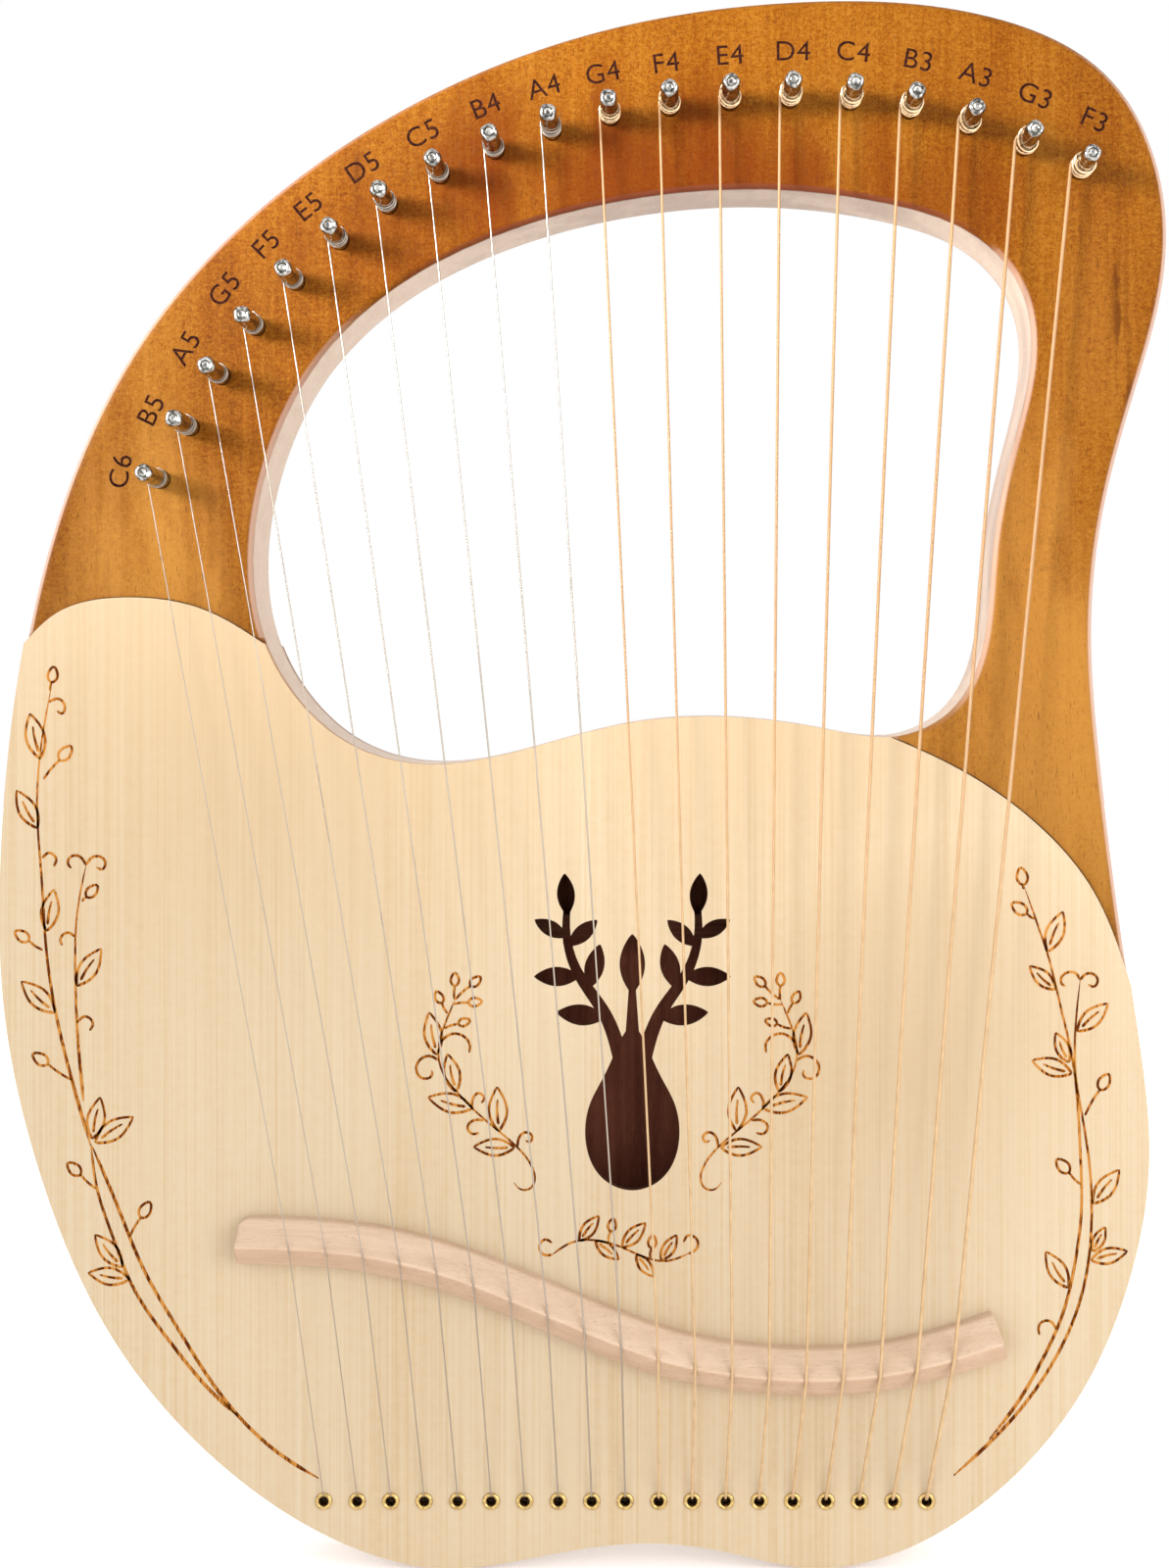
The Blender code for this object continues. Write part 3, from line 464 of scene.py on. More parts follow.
def directions(line, closed=False):
    """Unit vectors along a line, at each of its points."""
    if closed:
        along = np.roll(line, -1, axis=0) - np.roll(line, 1, axis=0)
    else:
        along = np.gradient(line, axis=0)
    return along / np.linalg.norm(along, axis=1)[:, None]


def sideways(line, closed=False):
    """Unit vectors across a flat line, pointing to its left."""
    along = directions(np.array(line), closed)
    return np.stack([-along[:, 1], along[:, 0]], axis=1)


def string_radii():
    """Radius of each string, treble to bass."""
    plain = np.linspace(*PLAIN_DIAMETER, len(PLAIN_NOTES))
    wound = np.linspace(*WOUND_DIAMETER, len(WOUND_NOTES))
    return list(plain / 2) + list(wound / 2)


def anchor_points():
    """The middle of each anchor hole, left to right."""
    return [(ANCHOR_FIRST + ANCHOR_PITCH * number, ANCHOR_Z) for number in range(len(NOTES))]


def crossing_points(ridge):
    """Where each string crosses the bridge's ridge."""
    xs, zs = zip(*ridge)
    marks = [STRING_FIRST + STRING_PITCH * number for number in range(len(NOTES))]
    return [(x, float(np.interp(x, xs, zs))) for x in marks]


# ---------------------------------------------------------------- mesh helpers

def link(made):
    """Put a new object into the scene."""
    bpy.context.scene.collection.objects.link(made)
    return made


def move_by(x, y, z):
    """A move by millimetres, as a matrix."""
    return Matrix.Translation((x * MM, y * MM, z * MM))


def join_rings(shell, rings, closed=False):
    """Faces between neighbouring rings of points; an open run also gets one at each end."""
    count = len(rings[0])
    for lower, upper in zip(rings, rings[1:] + rings[:1] if closed else rings[1:]):
        for number in range(count):
            beside = (number + 1) % count
            shell.faces.new((lower[number], lower[beside], upper[beside], upper[number]))
    if not closed:
        shell.faces.new(rings[0])
        shell.faces.new(rings[-1])


def mesh_object(name, shell, smooth_below=SMOOTH_BELOW):
    """An object from a bmesh, with closed faces pointing out and smooth shading."""
    bmesh.ops.recalc_face_normals(shell, faces=shell.faces)
    mesh = bpy.data.meshes.new(name)
    shell.to_mesh(mesh)
    shell.free()
    mesh.shade_smooth()
    mesh.set_sharp_from_angle(angle=radians(smooth_below))
    return link(bpy.data.objects.new(name, mesh))


def evaluated_mesh(made):
    """Freeze an object's modifiers or curve into a plain mesh in world space."""
    bpy.context.view_layer.update()
    evaluated = made.evaluated_get(bpy.context.evaluated_depsgraph_get())
    mesh = bpy.data.meshes.new_from_object(evaluated)
    mesh.transform(made.matrix_world)
    return mesh


def flat_solid(name, loops, y_front, y_back, rounding=0.0):
    """A slab between two depths with the given outlines, which lie in X and Z."""
    curve = bpy.data.curves.new(name, "CURVE")
    curve.dimensions = "2D"
    curve.fill_mode = "BOTH"
    curve.extrude = (y_back - y_front) / 2 * MM - rounding * MM
    curve.bevel_depth = rounding * MM
    curve.bevel_resolution = 4
    curve.offset = -rounding * MM
    for loop in loops:
        spline = curve.splines.new("POLY")
        spline.points.add(len(loop) - 1)
        spline.use_cyclic_u = True
        for point, (x, z) in zip(spline.points, loop):
            point.co = (x * MM, z * MM, 0, 1)
    drawn = link(bpy.data.objects.new(name, curve))
    drawn.rotation_euler.x = pi / 2
    drawn.location.y = (y_front + y_back) / 2 * MM
    mesh = evaluated_mesh(drawn)
    bpy.data.objects.remove(drawn)
    shell = bmesh.new()
    shell.from_mesh(mesh)
    bmesh.ops.remove_doubles(shell, verts=shell.verts, dist=TINY * MM)
    return mesh_object(name, shell)


def drill(name, centres, radius, y_front, y_back):
    """One cutter made of parallel round bars along Y."""
    shell = bmesh.new()
    for x, z in centres:
        bar = bmesh.ops.create_cone(shell, cap_ends=True, segments=HOLE_SIDES, radius1=radius * MM,
                                    radius2=radius * MM, depth=(y_back - y_front) * MM)
        for vert in bar["verts"]:
            along = vert.co.z
            vert.co = Vector((vert.co.x + x * MM, along + (y_front + y_back) / 2 * MM,
                              z * MM - vert.co.y))
    return mesh_object(name, shell)


def cut_all(made, cutters):
    """Cut the cutters out of a piece for good, and remove them."""
    for cutter in cutters:
        boolean = made.modifiers.new(cutter.name, "BOOLEAN")
        boolean.operation = "DIFFERENCE"
        boolean.object = cutter
        boolean.solver = "EXACT"
    mesh = evaluated_mesh(made)
    made.modifiers.clear()
    made.data = mesh
    mesh.shade_smooth()
    mesh.set_sharp_from_angle(angle=radians(SMOOTH_BELOW))
    for cutter in cutters:
        bpy.data.objects.remove(cutter)


def keep_flats_flat(made):
    """Weighted normals, so that large flat faces stay even beside their rounded edges."""
    weighted = made.modifiers.new("weighted", "WEIGHTED_NORMAL")
    weighted.keep_sharp = True
    weighted.weight = 100


def round_edges(made, y_face, radius, segments, keep_sharp):
    """Round the outer edge at one face, except along the points to keep sharp."""
    shell = bmesh.new()
    shell.from_mesh(made.data)
    edges = []
    for edge in shell.edges:
        on_face = all(abs(vert.co.y - y_face * MM) < TINY * MM for vert in edge.verts)
        rim = len(edge.link_faces) == 2 and edge.calc_face_angle() > 1.0
        middle = (edge.verts[0].co + edge.verts[1].co) / 2
        if on_face and rim and not keep_sharp(middle.x / MM, middle.z / MM):
            edges.append(edge)
    bmesh.ops.bevel(shell, geom=edges, offset=radius * MM, segments=segments, profile=0.5,
                    affect="EDGES", clamp_overlap=True)
    shell.to_mesh(made.data)
    shell.free()


def set_attribute(made, name, values):
    """Store one number for each vertex, for the material to read."""
    attribute = made.data.attributes.new(name, "FLOAT", "POINT")
    attribute.data.foreach_set("value", np.array(values, dtype=np.float32))


def sweep(name, path, radii, finish):
    """A round rod along 3D points, with an attribute that says how far along it each point is."""
    path = np.array(path, dtype=float)
    along = directions(path)
    side = np.cross(along[0], SWEEP_START)
    rings = []
    shell = bmesh.new()
    for centre, ahead, radius in zip(path, along, radii):
        side = side - ahead * np.dot(side, ahead)
        side /= np.linalg.norm(side)
        other = np.cross(ahead, side)
        ring = []
        for number in range(WIRE_SIDES):
            turn = 2 * pi * number / WIRE_SIDES
            spot = centre + (side * cos(turn) + other * sin(turn)) * radius
            ring.append(shell.verts.new(spot * MM))
        rings.append(ring)
    join_rings(shell, rings)
    made = mesh_object(name, shell, WIRE_BELOW)
    set_attribute(made, "along", np.repeat(distance_along(path), WIRE_SIDES))
    made.data.materials.append(finish)
    return made


def turned(name, profile, sides, closed, shape=None):
    """A piece turned about Y from (radius, height) points; shape(turn, step) scales a ring's reach."""
    shell = bmesh.new()
    rings = []
    for step, (radius, height) in enumerate(profile):
        ring = []
        for number in range(sides):
            turn = 2 * pi * number / sides
            reach = radius * (shape(turn, step) if shape else 1.0)
            ring.append(shell.verts.new((reach * cos(turn) * MM, -height * MM, reach * sin(turn) * MM)))
        rings.append(ring)
    join_rings(shell, rings, closed)
    return mesh_object(name, shell)


def show(made, slot, *nodes, body=BODY):
    """Hang a finished piece on its body, and hide the CAD nodes it stands for."""
    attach(made, body)
    if nodes:
        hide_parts(*nodes)
    return made


# ---------------------------------------------------------------- materials

class Finish:
    """A Principled material whose nodes are added one by one; positions are in millimetres."""

    def __init__(self, name, **values):
        self.material = bpy.data.materials.new(name)
        self.material.use_nodes = True
        self.tree = self.material.node_tree
        self.shader = self.tree.nodes["Principled BSDF"]
        self.place = self.tree.nodes.new("ShaderNodeTexCoord").outputs["Object"]
        for socket, value in values.items():
            self.set(socket.replace("_", " "), value)

    def set(self, socket, value):
        """Give a shader socket a constant or wire a node into it."""
        names = {name.lower(): name for name in self.shader.inputs.keys()}
        self.wire(self.shader.inputs[names[socket.lower()]], value)

    def wire(self, socket, value):
        """Link another node's output to a socket, or write a constant into it."""
        if isinstance(value, bpy.types.NodeSocket):
            self.tree.links.new(value, socket)
        elif isinstance(value, tuple) and socket.type == "RGBA":
            socket.default_value = (*value, 1.0)
        else:
            socket.default_value = value

    def add(self, kind, sockets=(), **settings):
        """A new node with its settings and its sockets filled in."""
        made = self.tree.nodes.new(kind)
        for setting, value in settings.items():
            setattr(made, setting, value)
        for socket, value in dict(sockets).items():
            self.wire(made.inputs[socket], value)
        return made

    def at(self, x, y, z, shift=0.0):
        """Object position times a number of cells for each millimetre."""
        scale = (x / MM, y / MM, z / MM)
        mapping = self.add("ShaderNodeMapping", {"Vector": self.place, "Scale": scale})
        mapping.inputs["Location"].default_value = (shift, shift * 1.7, shift * 0.6)
        return mapping.outputs["Vector"]

    def noise(self, x, y, z, detail=2.0, roughness=0.5, distortion=0.0, shift=0.0):
        sockets = {"Vector": self.at(x, y, z, shift), "Scale": 1.0, "Detail": detail,
                   "Roughness": roughness, "Distortion": distortion}
        return self.add("ShaderNodeTexNoise", sockets).outputs[0]

    def calc(self, operation, first, second=0.0, clamp=False):
        made = self.add("ShaderNodeMath", {0: first, 1: second}, operation=operation, use_clamp=clamp)
        return made.outputs[0]

    def span(self, value, low, high, to_low=0.0, to_high=1.0):
        """Value from low to high, turned smoothly into to_low to to_high."""
        sockets = {"Value": value, "From Min": low, "From Max": high, "To Min": to_low, "To Max": to_high}
        made = self.add("ShaderNodeMapRange", sockets, interpolation_type="SMOOTHSTEP")
        return made.outputs[0]

    def sum(self, *weighted):
        """The sum of (socket, weight) pairs."""
        total = self.calc("MULTIPLY", *weighted[0])
        for socket, weight in weighted[1:]:
            total = self.calc("ADD", total, self.calc("MULTIPLY", socket, weight))
        return total

    def highest(self, values):
        """The highest of several sockets."""
        top = values[0]
        for value in values[1:]:
            top = self.calc("MAXIMUM", top, value)
        return top

    def ramp(self, value, *stops):
        """Colours along a value, as (position, (red, green, blue)) stops."""
        made = self.add("ShaderNodeValToRGB", {"Fac": value})
        elements = made.color_ramp.elements
        while len(elements) < len(stops):
            elements.new(0.5)
        for element, (position, colour) in zip(elements, stops):
            element.position = position
            element.color = (*colour, 1.0)
        return made.outputs["Color"]

    def mix(self, share, first, second, blend="MIX"):
        made = self.add("ShaderNodeMix", {0: share, 6: first, 7: second}, data_type="RGBA", blend_type=blend)
        return made.outputs[2]

    def axis(self, name):
        """One coordinate of the position, in millimetres."""
        split = self.add("ShaderNodeSeparateXYZ", {"Vector": self.at(1, 1, 1)})
        return split.outputs[name]

    def read(self, attribute):
        """A number stored on the mesh's vertices."""
        return self.add("ShaderNodeAttribute", attribute_name=attribute).outputs["Fac"]

    def bump(self, height, depth, strength=1.0):
        """Relief of a height from 0 to 1, its depth in millimetres."""
        made = self.add("ShaderNodeBump", {"Height": height, "Strength": strength, "Distance": depth * MM})
        self.set("normal", made.outputs["Normal"])


def amber_wood():
    """Maple with an amber stain under lacquer on the front and back, bare on the sides."""
    f = Finish("amber_wood", specular_ior_level=0.05)
    band = f.noise(0.045, 0.045, 0.0045, 3.0, 0.55)
    grain = f.noise(0.75, 0.75, 0.028, 4.0, 0.6, 0.25, 3.0)
    curl = f.noise(0.62, 0.62, 1.25, 3.0, 0.65, 0.9, 7.0)
    speck = f.noise(2.2, 2.2, 1.5, 2.0, 0.6, 0.0, 11.0)
    tone = f.sum((band, 0.26), (grain, 0.17), (curl, 0.32), (speck, 0.25))
    stain = f.ramp(tone, (0.38, (0.094, 0.0215, 0.0009)), (0.47, (0.157, 0.046, 0.0025)),
                   (0.54, (0.200, 0.070, 0.0052)), (0.64, (0.255, 0.106, 0.0130)))
    # Deeper stain under the yoke: partly real stain and partly painted shade of the pins.
    stain = f.mix(patches(f, STAIN_DEEP_AND_PIN_SHADE), stain, (0.090, 0.0115, 0.0003))
    stain = f.mix(patches(f, STAIN_THIN), stain, (0.440, 0.205, 0.0400))
    pores = f.span(f.noise(4.6, 4.6, 0.36, 2.0, 0.5, 0.0, 19.0), 0.62, 0.72)
    stain = f.mix(f.calc("MULTIPLY", pores, 0.6), stain, (0.055, 0.014, 0.002))
    stain = f.mix(mineral_streaks(f), stain, (0.060, 0.014, 0.0015))
    # Painted shade, with some pooled stain, on the downward-facing roundover at the opening's top; a lighter
    # peach painted highlight on roundovers that face sideways.
    edge = f.read("edge_tone")
    stain = f.mix(f.span(edge, 0.0, 1.0, 0.0, 0.9), stain, (0.125, 0.032, 0.014))
    stain = f.mix(f.span(edge, 0.0, -1.0, 0.0, 0.95), stain, (0.520, 0.345, 0.265))
    bare_tone = f.sum((f.noise(0.5, 0.09, 0.05, 3.0, 0.6, 0.2, 5.0), 0.6), (f.noise(2.0, 0.5, 0.5, 2.0), 0.4))
    bare = f.ramp(bare_tone, (0.30, (0.485, 0.362, 0.270)), (0.70, (0.565, 0.450, 0.362)))
    # Darker bare wood at the right, and painted shade on the opening's downward-facing top wall.
    bare = f.mix(patches(f, BARE_DARK_AND_SHADE), bare, (0.300, 0.212, 0.172))
    # Painted shade on the bare wood where the opening's roundover faces down.
    bare = f.mix(f.span(edge, 0.0, 1.0, 0.0, 0.6), bare, (0.240, 0.095, 0.052))
    depth = f.calc("ADD", f.axis("Y"), f.span(f.noise(0.2, 0.2, 0.2, 3.0), 0.3, 0.7, -0.15, 0.15))
    front = f.span(depth, NECK_Y + 1.5, NECK_Y + 2.6, 1.0, 0.0)
    back = f.span(depth, BACK_Y - 2.6, BACK_Y - 1.5, 0.0, 1.0)
    stained = f.calc("MAXIMUM", front, back)
    f.set("base color", f.mix(stained, bare, stain))
    f.set("roughness", f.span(speck, 0.3, 0.7, 0.34, 0.5))
    f.bump(f.sum((curl, 0.4), (grain, 0.25), (pores, -0.5), (speck, 0.25)), 0.06, 0.7)
    return f.material


def patches(f, places, rough_edge=0.25):
    """How much a point lies in soft patches, each given as (x, z, half width, half height, share)."""
    x, z = f.axis("X"), f.axis("Z")
    ragged = f.span(f.noise(0.05, 0.05, 0.012, 3.0, 0.6, 0.3, 29.0), 0.35, 0.65, -rough_edge, rough_edge)
    shares = []
    for centre_x, centre_z, half_width, half_height, share in places:
        across = f.calc("DIVIDE", f.calc("SUBTRACT", x, centre_x), half_width)
        upward = f.calc("DIVIDE", f.calc("SUBTRACT", z, centre_z), half_height)
        squares = f.calc("ADD", f.calc("MULTIPLY", across, across), f.calc("MULTIPLY", upward, upward))
        away = f.calc("ADD", f.calc("SQRT", squares), ragged)
        shares.append(f.span(away, 0.15, 1.0, share, 0.0))
    return f.highest(shares)


def mineral_streaks(f):
    """Dark streaks that run up the arms, as (x, half width, low z, high z)."""
    wander = f.span(f.noise(0.02, 0.02, 0.02, 2.0, 0.5, 0.0, 2.0), 0.3, 0.7, -3.0, 3.0)
    patchy = f.span(f.noise(0.3, 0.3, 0.045, 3.0, 0.6, 0.0, 23.0), 0.38, 0.58)
    across = f.calc("ADD", f.axis("X"), wander)
    height = f.axis("Z")
    streaks = []
    for x, half, low, high in MINERAL_STREAKS:
        near = f.span(f.calc("ABSOLUTE", f.calc("SUBTRACT", across, x)), half, 0.0)
        above = f.span(height, low, low + 20.0)
        below = f.span(height, high, high - 20.0)
        streaks.append(f.calc("MULTIPLY", near, f.calc("MULTIPLY", above, below)))
    return f.calc("MULTIPLY", f.calc("MULTIPLY", f.highest(streaks), patchy), 0.75)


def spruce():
    """Pale quarter-sawn spruce with upright growth lines, tinted along its cut edge."""
    f = Finish("spruce", roughness=0.5, specular_ior_level=0.15)
    wide = f.noise(0.06, 0.06, 0.002, 2.0, 0.5, 0.0, 1.0)
    lines = f.noise(1.15, 1.15, 0.0045, 2.0, 0.5, 0.0, 4.0)
    fine = f.noise(3.0, 3.0, 0.02, 2.0, 0.5, 0.0, 9.0)
    silk = f.noise(0.35, 0.35, 0.5, 3.0, 0.6, 0.4, 13.0)
    tone = f.sum((wide, 0.20), (lines, 0.44), (fine, 0.20), (silk, 0.16))
    colour = f.ramp(tone, (0.39, (0.498, 0.366, 0.220)), (0.46, (0.520, 0.398, 0.256)),
                    (0.53, (0.536, 0.424, 0.284)), (0.62, (0.550, 0.442, 0.306)))
    # Painted shade: the spruce is darker towards its top, evening out the key lamp's pool of light.
    colour = f.mix(patches(f, SPRUCE_PAINTED_SHADE, 0.03), colour, (0.405, 0.284, 0.158))
    rim = f.span(f.axis("Y"), FRONT_Y + 0.05, FRONT_Y + 0.40)
    colour = f.mix(f.calc("MULTIPLY", rim, 0.8), colour, (0.380, 0.165, 0.052))
    f.set("base color", colour)
    f.bump(f.sum((lines, 0.5), (fine, 0.35), (silk, 0.15)), 0.03, 0.3)
    return f.material


def mottled(name, roughness, specular, noises, *stops, relief=None):
    """A rough finish coloured along the sum of (noise, weight) pairs; relief is a depth in millimetres."""
    f = Finish(name, roughness=roughness, specular_ior_level=specular)
    tone = f.sum(*[(f.noise(*noise), weight) for noise, weight in noises])
    f.set("base color", f.ramp(tone, *stops))
    if relief:
        f.bump(tone, relief, 0.5)
    return f.material


def shaded_chamber_wood():
    """The inside of the back, painted dark as the shade inside the closed body."""
    return mottled("shaded_chamber_wood", 0.75, 0.1, [((0.4, 0.4, 0.02, 3.0), 0.6), ((2.5, 2.5, 0.3, 3.0), 0.4)],
                   (0.35, (0.110, 0.030, 0.016)), (0.65, (0.210, 0.066, 0.036)), relief=0.05)


def shaded_brace_wood():
    """Softwood inside the body, painted as dark as the back to stand in for the shade inside the body."""
    return mottled("brace_wood_fine", 0.7, 0.1, [((0.03, 1.2, 1.2, 3.0), 0.7), ((0.4, 3.0, 3.0, 2.0), 0.3)],
                   (0.3, (0.110, 0.034, 0.018)), (0.7, (0.200, 0.070, 0.038)), relief=0.04)


def burnt_edge():
    """The laser-cut wall of the sound hole."""
    return mottled("burnt_edge", 0.8, 0.1, [((1.5, 1.5, 0.5, 3.0), 1.0)],
                   (0.35, (0.030, 0.012, 0.006)), (0.7, (0.110, 0.045, 0.020)))


def burnt_line():
    """Scorched line work: darker where it crosses the hard growth lines of the spruce."""
    noises = [((0.85, 0.85, 0.22, 2.0, 0.6, 0.6, 6.0), 0.8), ((0.25, 0.25, 0.25, 2.0, 0.5, 0.0, 2.0), 0.2)]
    return mottled("burnt_line", 0.8, 0.0, noises, (0.43, (0.090, 0.019, 0.003)),
                   (0.50, (0.290, 0.090, 0.010)), (0.57, (0.450, 0.195, 0.040)))


def label_ink():
    """The note names, burnt dark into the stain."""
    return mottled("label_ink", 0.8, 0.0, [((1.6, 1.6, 1.6, 3.0), 1.0)],
                   (0.35, (0.012, 0.004, 0.003)), (0.7, (0.040, 0.013, 0.008)))


def beech(name, light, dark):
    """Pinkish beech with short flecks along the bar, and painted shade on the bridge's lower facet."""
    f = Finish(name, roughness=0.55, specular_ior_level=0.15)
    band = f.noise(0.012, 0.3, 0.22, 3.0, 0.6, 0.5)
    fibre = f.noise(0.12, 2.4, 2.4, 3.0, 0.6, 0.2, 5.0)
    flecks = f.span(f.noise(0.42, 3.0, 3.6, 2.0, 0.5, 0.0, 8.0), 0.62, 0.72)
    tone = f.sum((band, 0.6), (fibre, 0.4))
    colour = f.ramp(tone, (0.32, dark), (0.66, light))
    colour = f.mix(f.calc("MULTIPLY", flecks, 0.55), colour, tuple(0.62 * part for part in dark))
    # Painted shade: the lower facet is multiplied darker, as if less light fell on it.
    f.set("base color", f.mix(f.read("lower_facet"), colour, (0.87, 0.82, 0.79), "MULTIPLY"))
    f.bump(f.sum((fibre, 0.6), (flecks, -0.5)), 0.04, 0.5)
    return f.material


def metal(name, colour, roughness, grain, mark_brightness):
    """Plated or drawn metal: grain is its marks' cells per millimetre, and the last number how bright a mark
    is against the colour; on chrome the dark marks are partly tarnish and partly painted reflection of dark
    surroundings.
    """
    f = Finish(name, metallic=1.0)
    marks = f.noise(*grain, 3.0, 0.6)
    f.set("base color", f.ramp(marks, (0.38, tuple(mark_brightness * part for part in colour)), (0.60, colour)))
    f.set("roughness", f.span(marks, 0.3, 0.7, roughness * 0.75, roughness * 1.35))
    f.bump(marks, 0.01, 0.25)
    return f.material


def wound_string():
    """Bronze winding wire around a core: close turns along the string."""
    f = Finish("wound_string", metallic=0.15, roughness=0.5)
    along = f.read("along")
    turns = f.calc("SINE", f.calc("MULTIPLY", along, 2 * pi / WINDING_PITCH))
    tint = f.noise(0.8, 0.8, 0.3, 2.0)
    bright = f.ramp(tint, (0.3, (0.480, 0.310, 0.155)), (0.7, (0.590, 0.400, 0.215)))
    # Painted shade: the wire is darker towards the yoke, evening out the key lamp's light there.
    shade_near_yoke = f.span(f.axis("Z"), 90.0, 330.0)
    f.set("base color", f.mix(f.calc("MULTIPLY", shade_near_yoke, 0.9), bright, (0.330, 0.170, 0.068)))
    f.bump(f.span(turns, -1.0, 1.0), 0.03, 0.5)
    return f.material


# ---------------------------------------------------------------- pieces

def make_frame(outer, opening, rebate, pins, anchors, finishes):
    """Yoke, arms and rim."""
    made = flat_solid("harp_frame", [outer, opening], NECK_Y, BACK_Y, FRAME_ROUND)
    chamber = moved(smooth_curve(CHAMBER, CHAMBER_STEPS * 2, True))
    cut_all(made, [
        flat_solid("chamber_cutter", [chamber], NECK_Y - THROUGH, BACK_Y + THROUGH),
        flat_solid("front_rebate_cutter", [rebate], NECK_Y - THROUGH, CORE_FRONT_Y),
        flat_solid("back_rebate_cutter", [rebate], CORE_BACK_Y, BACK_Y + THROUGH),
        drill("pin_holes_cutter", pins, PIN_HOLE_RADIUS, NECK_Y - THROUGH, NECK_Y + PIN_HOLE_DEPTH),
        drill("anchor_holes_cutter", anchors, ANCHOR_RADIUS, NECK_Y - THROUGH, BACK_Y + THROUGH),
        drill("ball_seats_cutter", anchors, BALL_SEAT_RADIUS, BACK_Y - BALL_SEAT_DEPTH, BACK_Y + THROUGH),
    ])
    paint_edge_shade_and_highlight(made, opening)
    made.data.materials.append(finishes["amber"])
    keep_flats_flat(made)
    return show(made, "amber_wood", "frame")


def paint_edge_shade_and_highlight(made, opening):
    """Painted shade, with pooled stain, on the opening's downward-facing upper edge (+), and a painted
    highlight on the edges that face sideways (-).
    """
    near = np.array(opening) * MM
    tones = []
    for vert in made.data.vertices:
        into = min(vert.co.y - NECK_Y * MM, BACK_Y * MM - vert.co.y) / MM
        tone = 0.0
        if EDGE_START < into < EDGE_END:
            away = np.min(np.hypot(near[:, 0] - vert.co.x, near[:, 1] - vert.co.z))
            inner = away < EDGE_NEAR * MM
            level = max(np.hypot(vert.normal.x, vert.normal.z), 0.01)
            downward = max(-vert.normal.z / level - 0.7, 0.0) / 0.3
            sideward = abs(vert.normal.x) / level
            tilt = 1 - abs(vert.normal.y)
            # Downward-facing roundovers near the opening get painted shade with pooled stain; sideways-facing
            # ones get a painted highlight.
            pooled_stain_and_shade = downward * (min(12 * tilt, 1.0) if inner else 0.0)
            tone = pooled_stain_and_shade - min(4.5 * tilt, 1.0) * sideward ** 2 * (0.7 if inner else 1.0)
        tones.append(max(-1.0, min(1.0, tone)))
    set_attribute(made, "edge_tone", tones)


def make_soundboard(outline, anchors, finishes):
    """The spruce front, its sound hole and the seats for the eyelets."""
    made = flat_solid("spruce_soundboard", [outline], FRONT_Y, FRONT_Y + BOARD)
    round_edges(made, FRONT_Y, BOARD_ROUND, 4, lambda x, z: False)
    ends = (FRONT_Y - THROUGH, FRONT_Y + BOARD + THROUGH)
    cutters = [flat_solid(f"sound_hole_cutter_{number}", [moved(loop)], *ends)
               for number, loop in enumerate(sound_hole_loops())]
    cutters.append(drill("eyelet_seats_cutter", anchors, EYELET_SEAT_RADIUS, *ends))
    cut_all(made, cutters)
    made.data.materials.append(finishes["spruce"])
    made.data.materials.append(finishes["burnt_edge"])
    for face in made.data.polygons:
        x, _, z = face.center / MM
        beside = abs(x - POD_X - SHIFT_X) < HOLE_HALF_WIDTH
        level = HOLE_HEIGHT[0] < z - POD_FOOT < HOLE_HEIGHT[1]
        if beside and level and abs(face.normal.y) < 0.5:
            face.material_index = 1
    keep_flats_flat(made)
    return show(made, "spruce", "soundboard")


def make_back(outline, borders, anchors, finishes):
    """The back board, amber outside and dark inside with painted shade, with the ball ends' seats."""
    made = flat_solid("stained_back", [outline], BACK_Y - BOARD, BACK_Y)

    def on_border(x, z):
        return min(np.hypot(x - border_x, z - border_z) for border_x, border_z in borders) < BORDER_REACH

    round_edges(made, BACK_Y, BACK_ROUND, 5, on_border)
    ends = (BACK_Y - BOARD - THROUGH, BACK_Y + THROUGH)
    cut_all(made, [drill("back_seats_cutter", anchors, BALL_SEAT_RADIUS, *ends)])
    made.data.materials.append(finishes["amber"])
    made.data.materials.append(finishes["chamber"])
    for face in made.data.polygons:
        if face.normal.y < -0.5:
            face.material_index = 1
    set_attribute(made, "edge_tone", [0.0] * len(made.data.vertices))
    keep_flats_flat(made)
    return show(made, "back_wood", "back_board")


def bridge_section(rise):
    """The bridge's section, its corners rounded, as (offset, height); rise lowers the ridge."""
    upper_fall = (RIDGE_HEIGHT - BRIDGE_UPPER_HEIGHT) / (BRIDGE_UPPER - BRIDGE_CROWN)
    lower_fall = (RIDGE_HEIGHT - BRIDGE_LOWER_HEIGHT) / (BRIDGE_LOWER - BRIDGE_CROWN)
    crown = RIDGE_HEIGHT - rise
    corners = [(BRIDGE_UPPER, BRIDGE_FOOT, 0.0), (BRIDGE_UPPER, BRIDGE_UPPER_HEIGHT, 0.9),
               (BRIDGE_CROWN + 1.0, RIDGE_HEIGHT - upper_fall, 0.2), (BRIDGE_CROWN, crown, 0.3),
               (-BRIDGE_CROWN, crown, 0.3), (-BRIDGE_CROWN - 1.0, RIDGE_HEIGHT - lower_fall, 0.2),
               (-BRIDGE_LOWER, BRIDGE_LOWER_HEIGHT, 0.5), (-BRIDGE_LOWER, BRIDGE_FOOT, 0.0)]
    points = []
    for number, (offset, height, rounding) in enumerate(corners):
        if rounding == 0.0:
            points.append((offset, height))
            continue
        here = np.array([offset, height])
        before = np.array(corners[number - 1][:2]) - here
        after = np.array(corners[number + 1][:2]) - here
        before *= rounding / np.linalg.norm(before)
        after *= rounding / np.linalg.norm(after)
        for step in range(CORNER_STEPS + 1):
            part = step / CORNER_STEPS
            points.append(tuple(here + before * (1 - part) ** 2 + after * part ** 2))
    return points


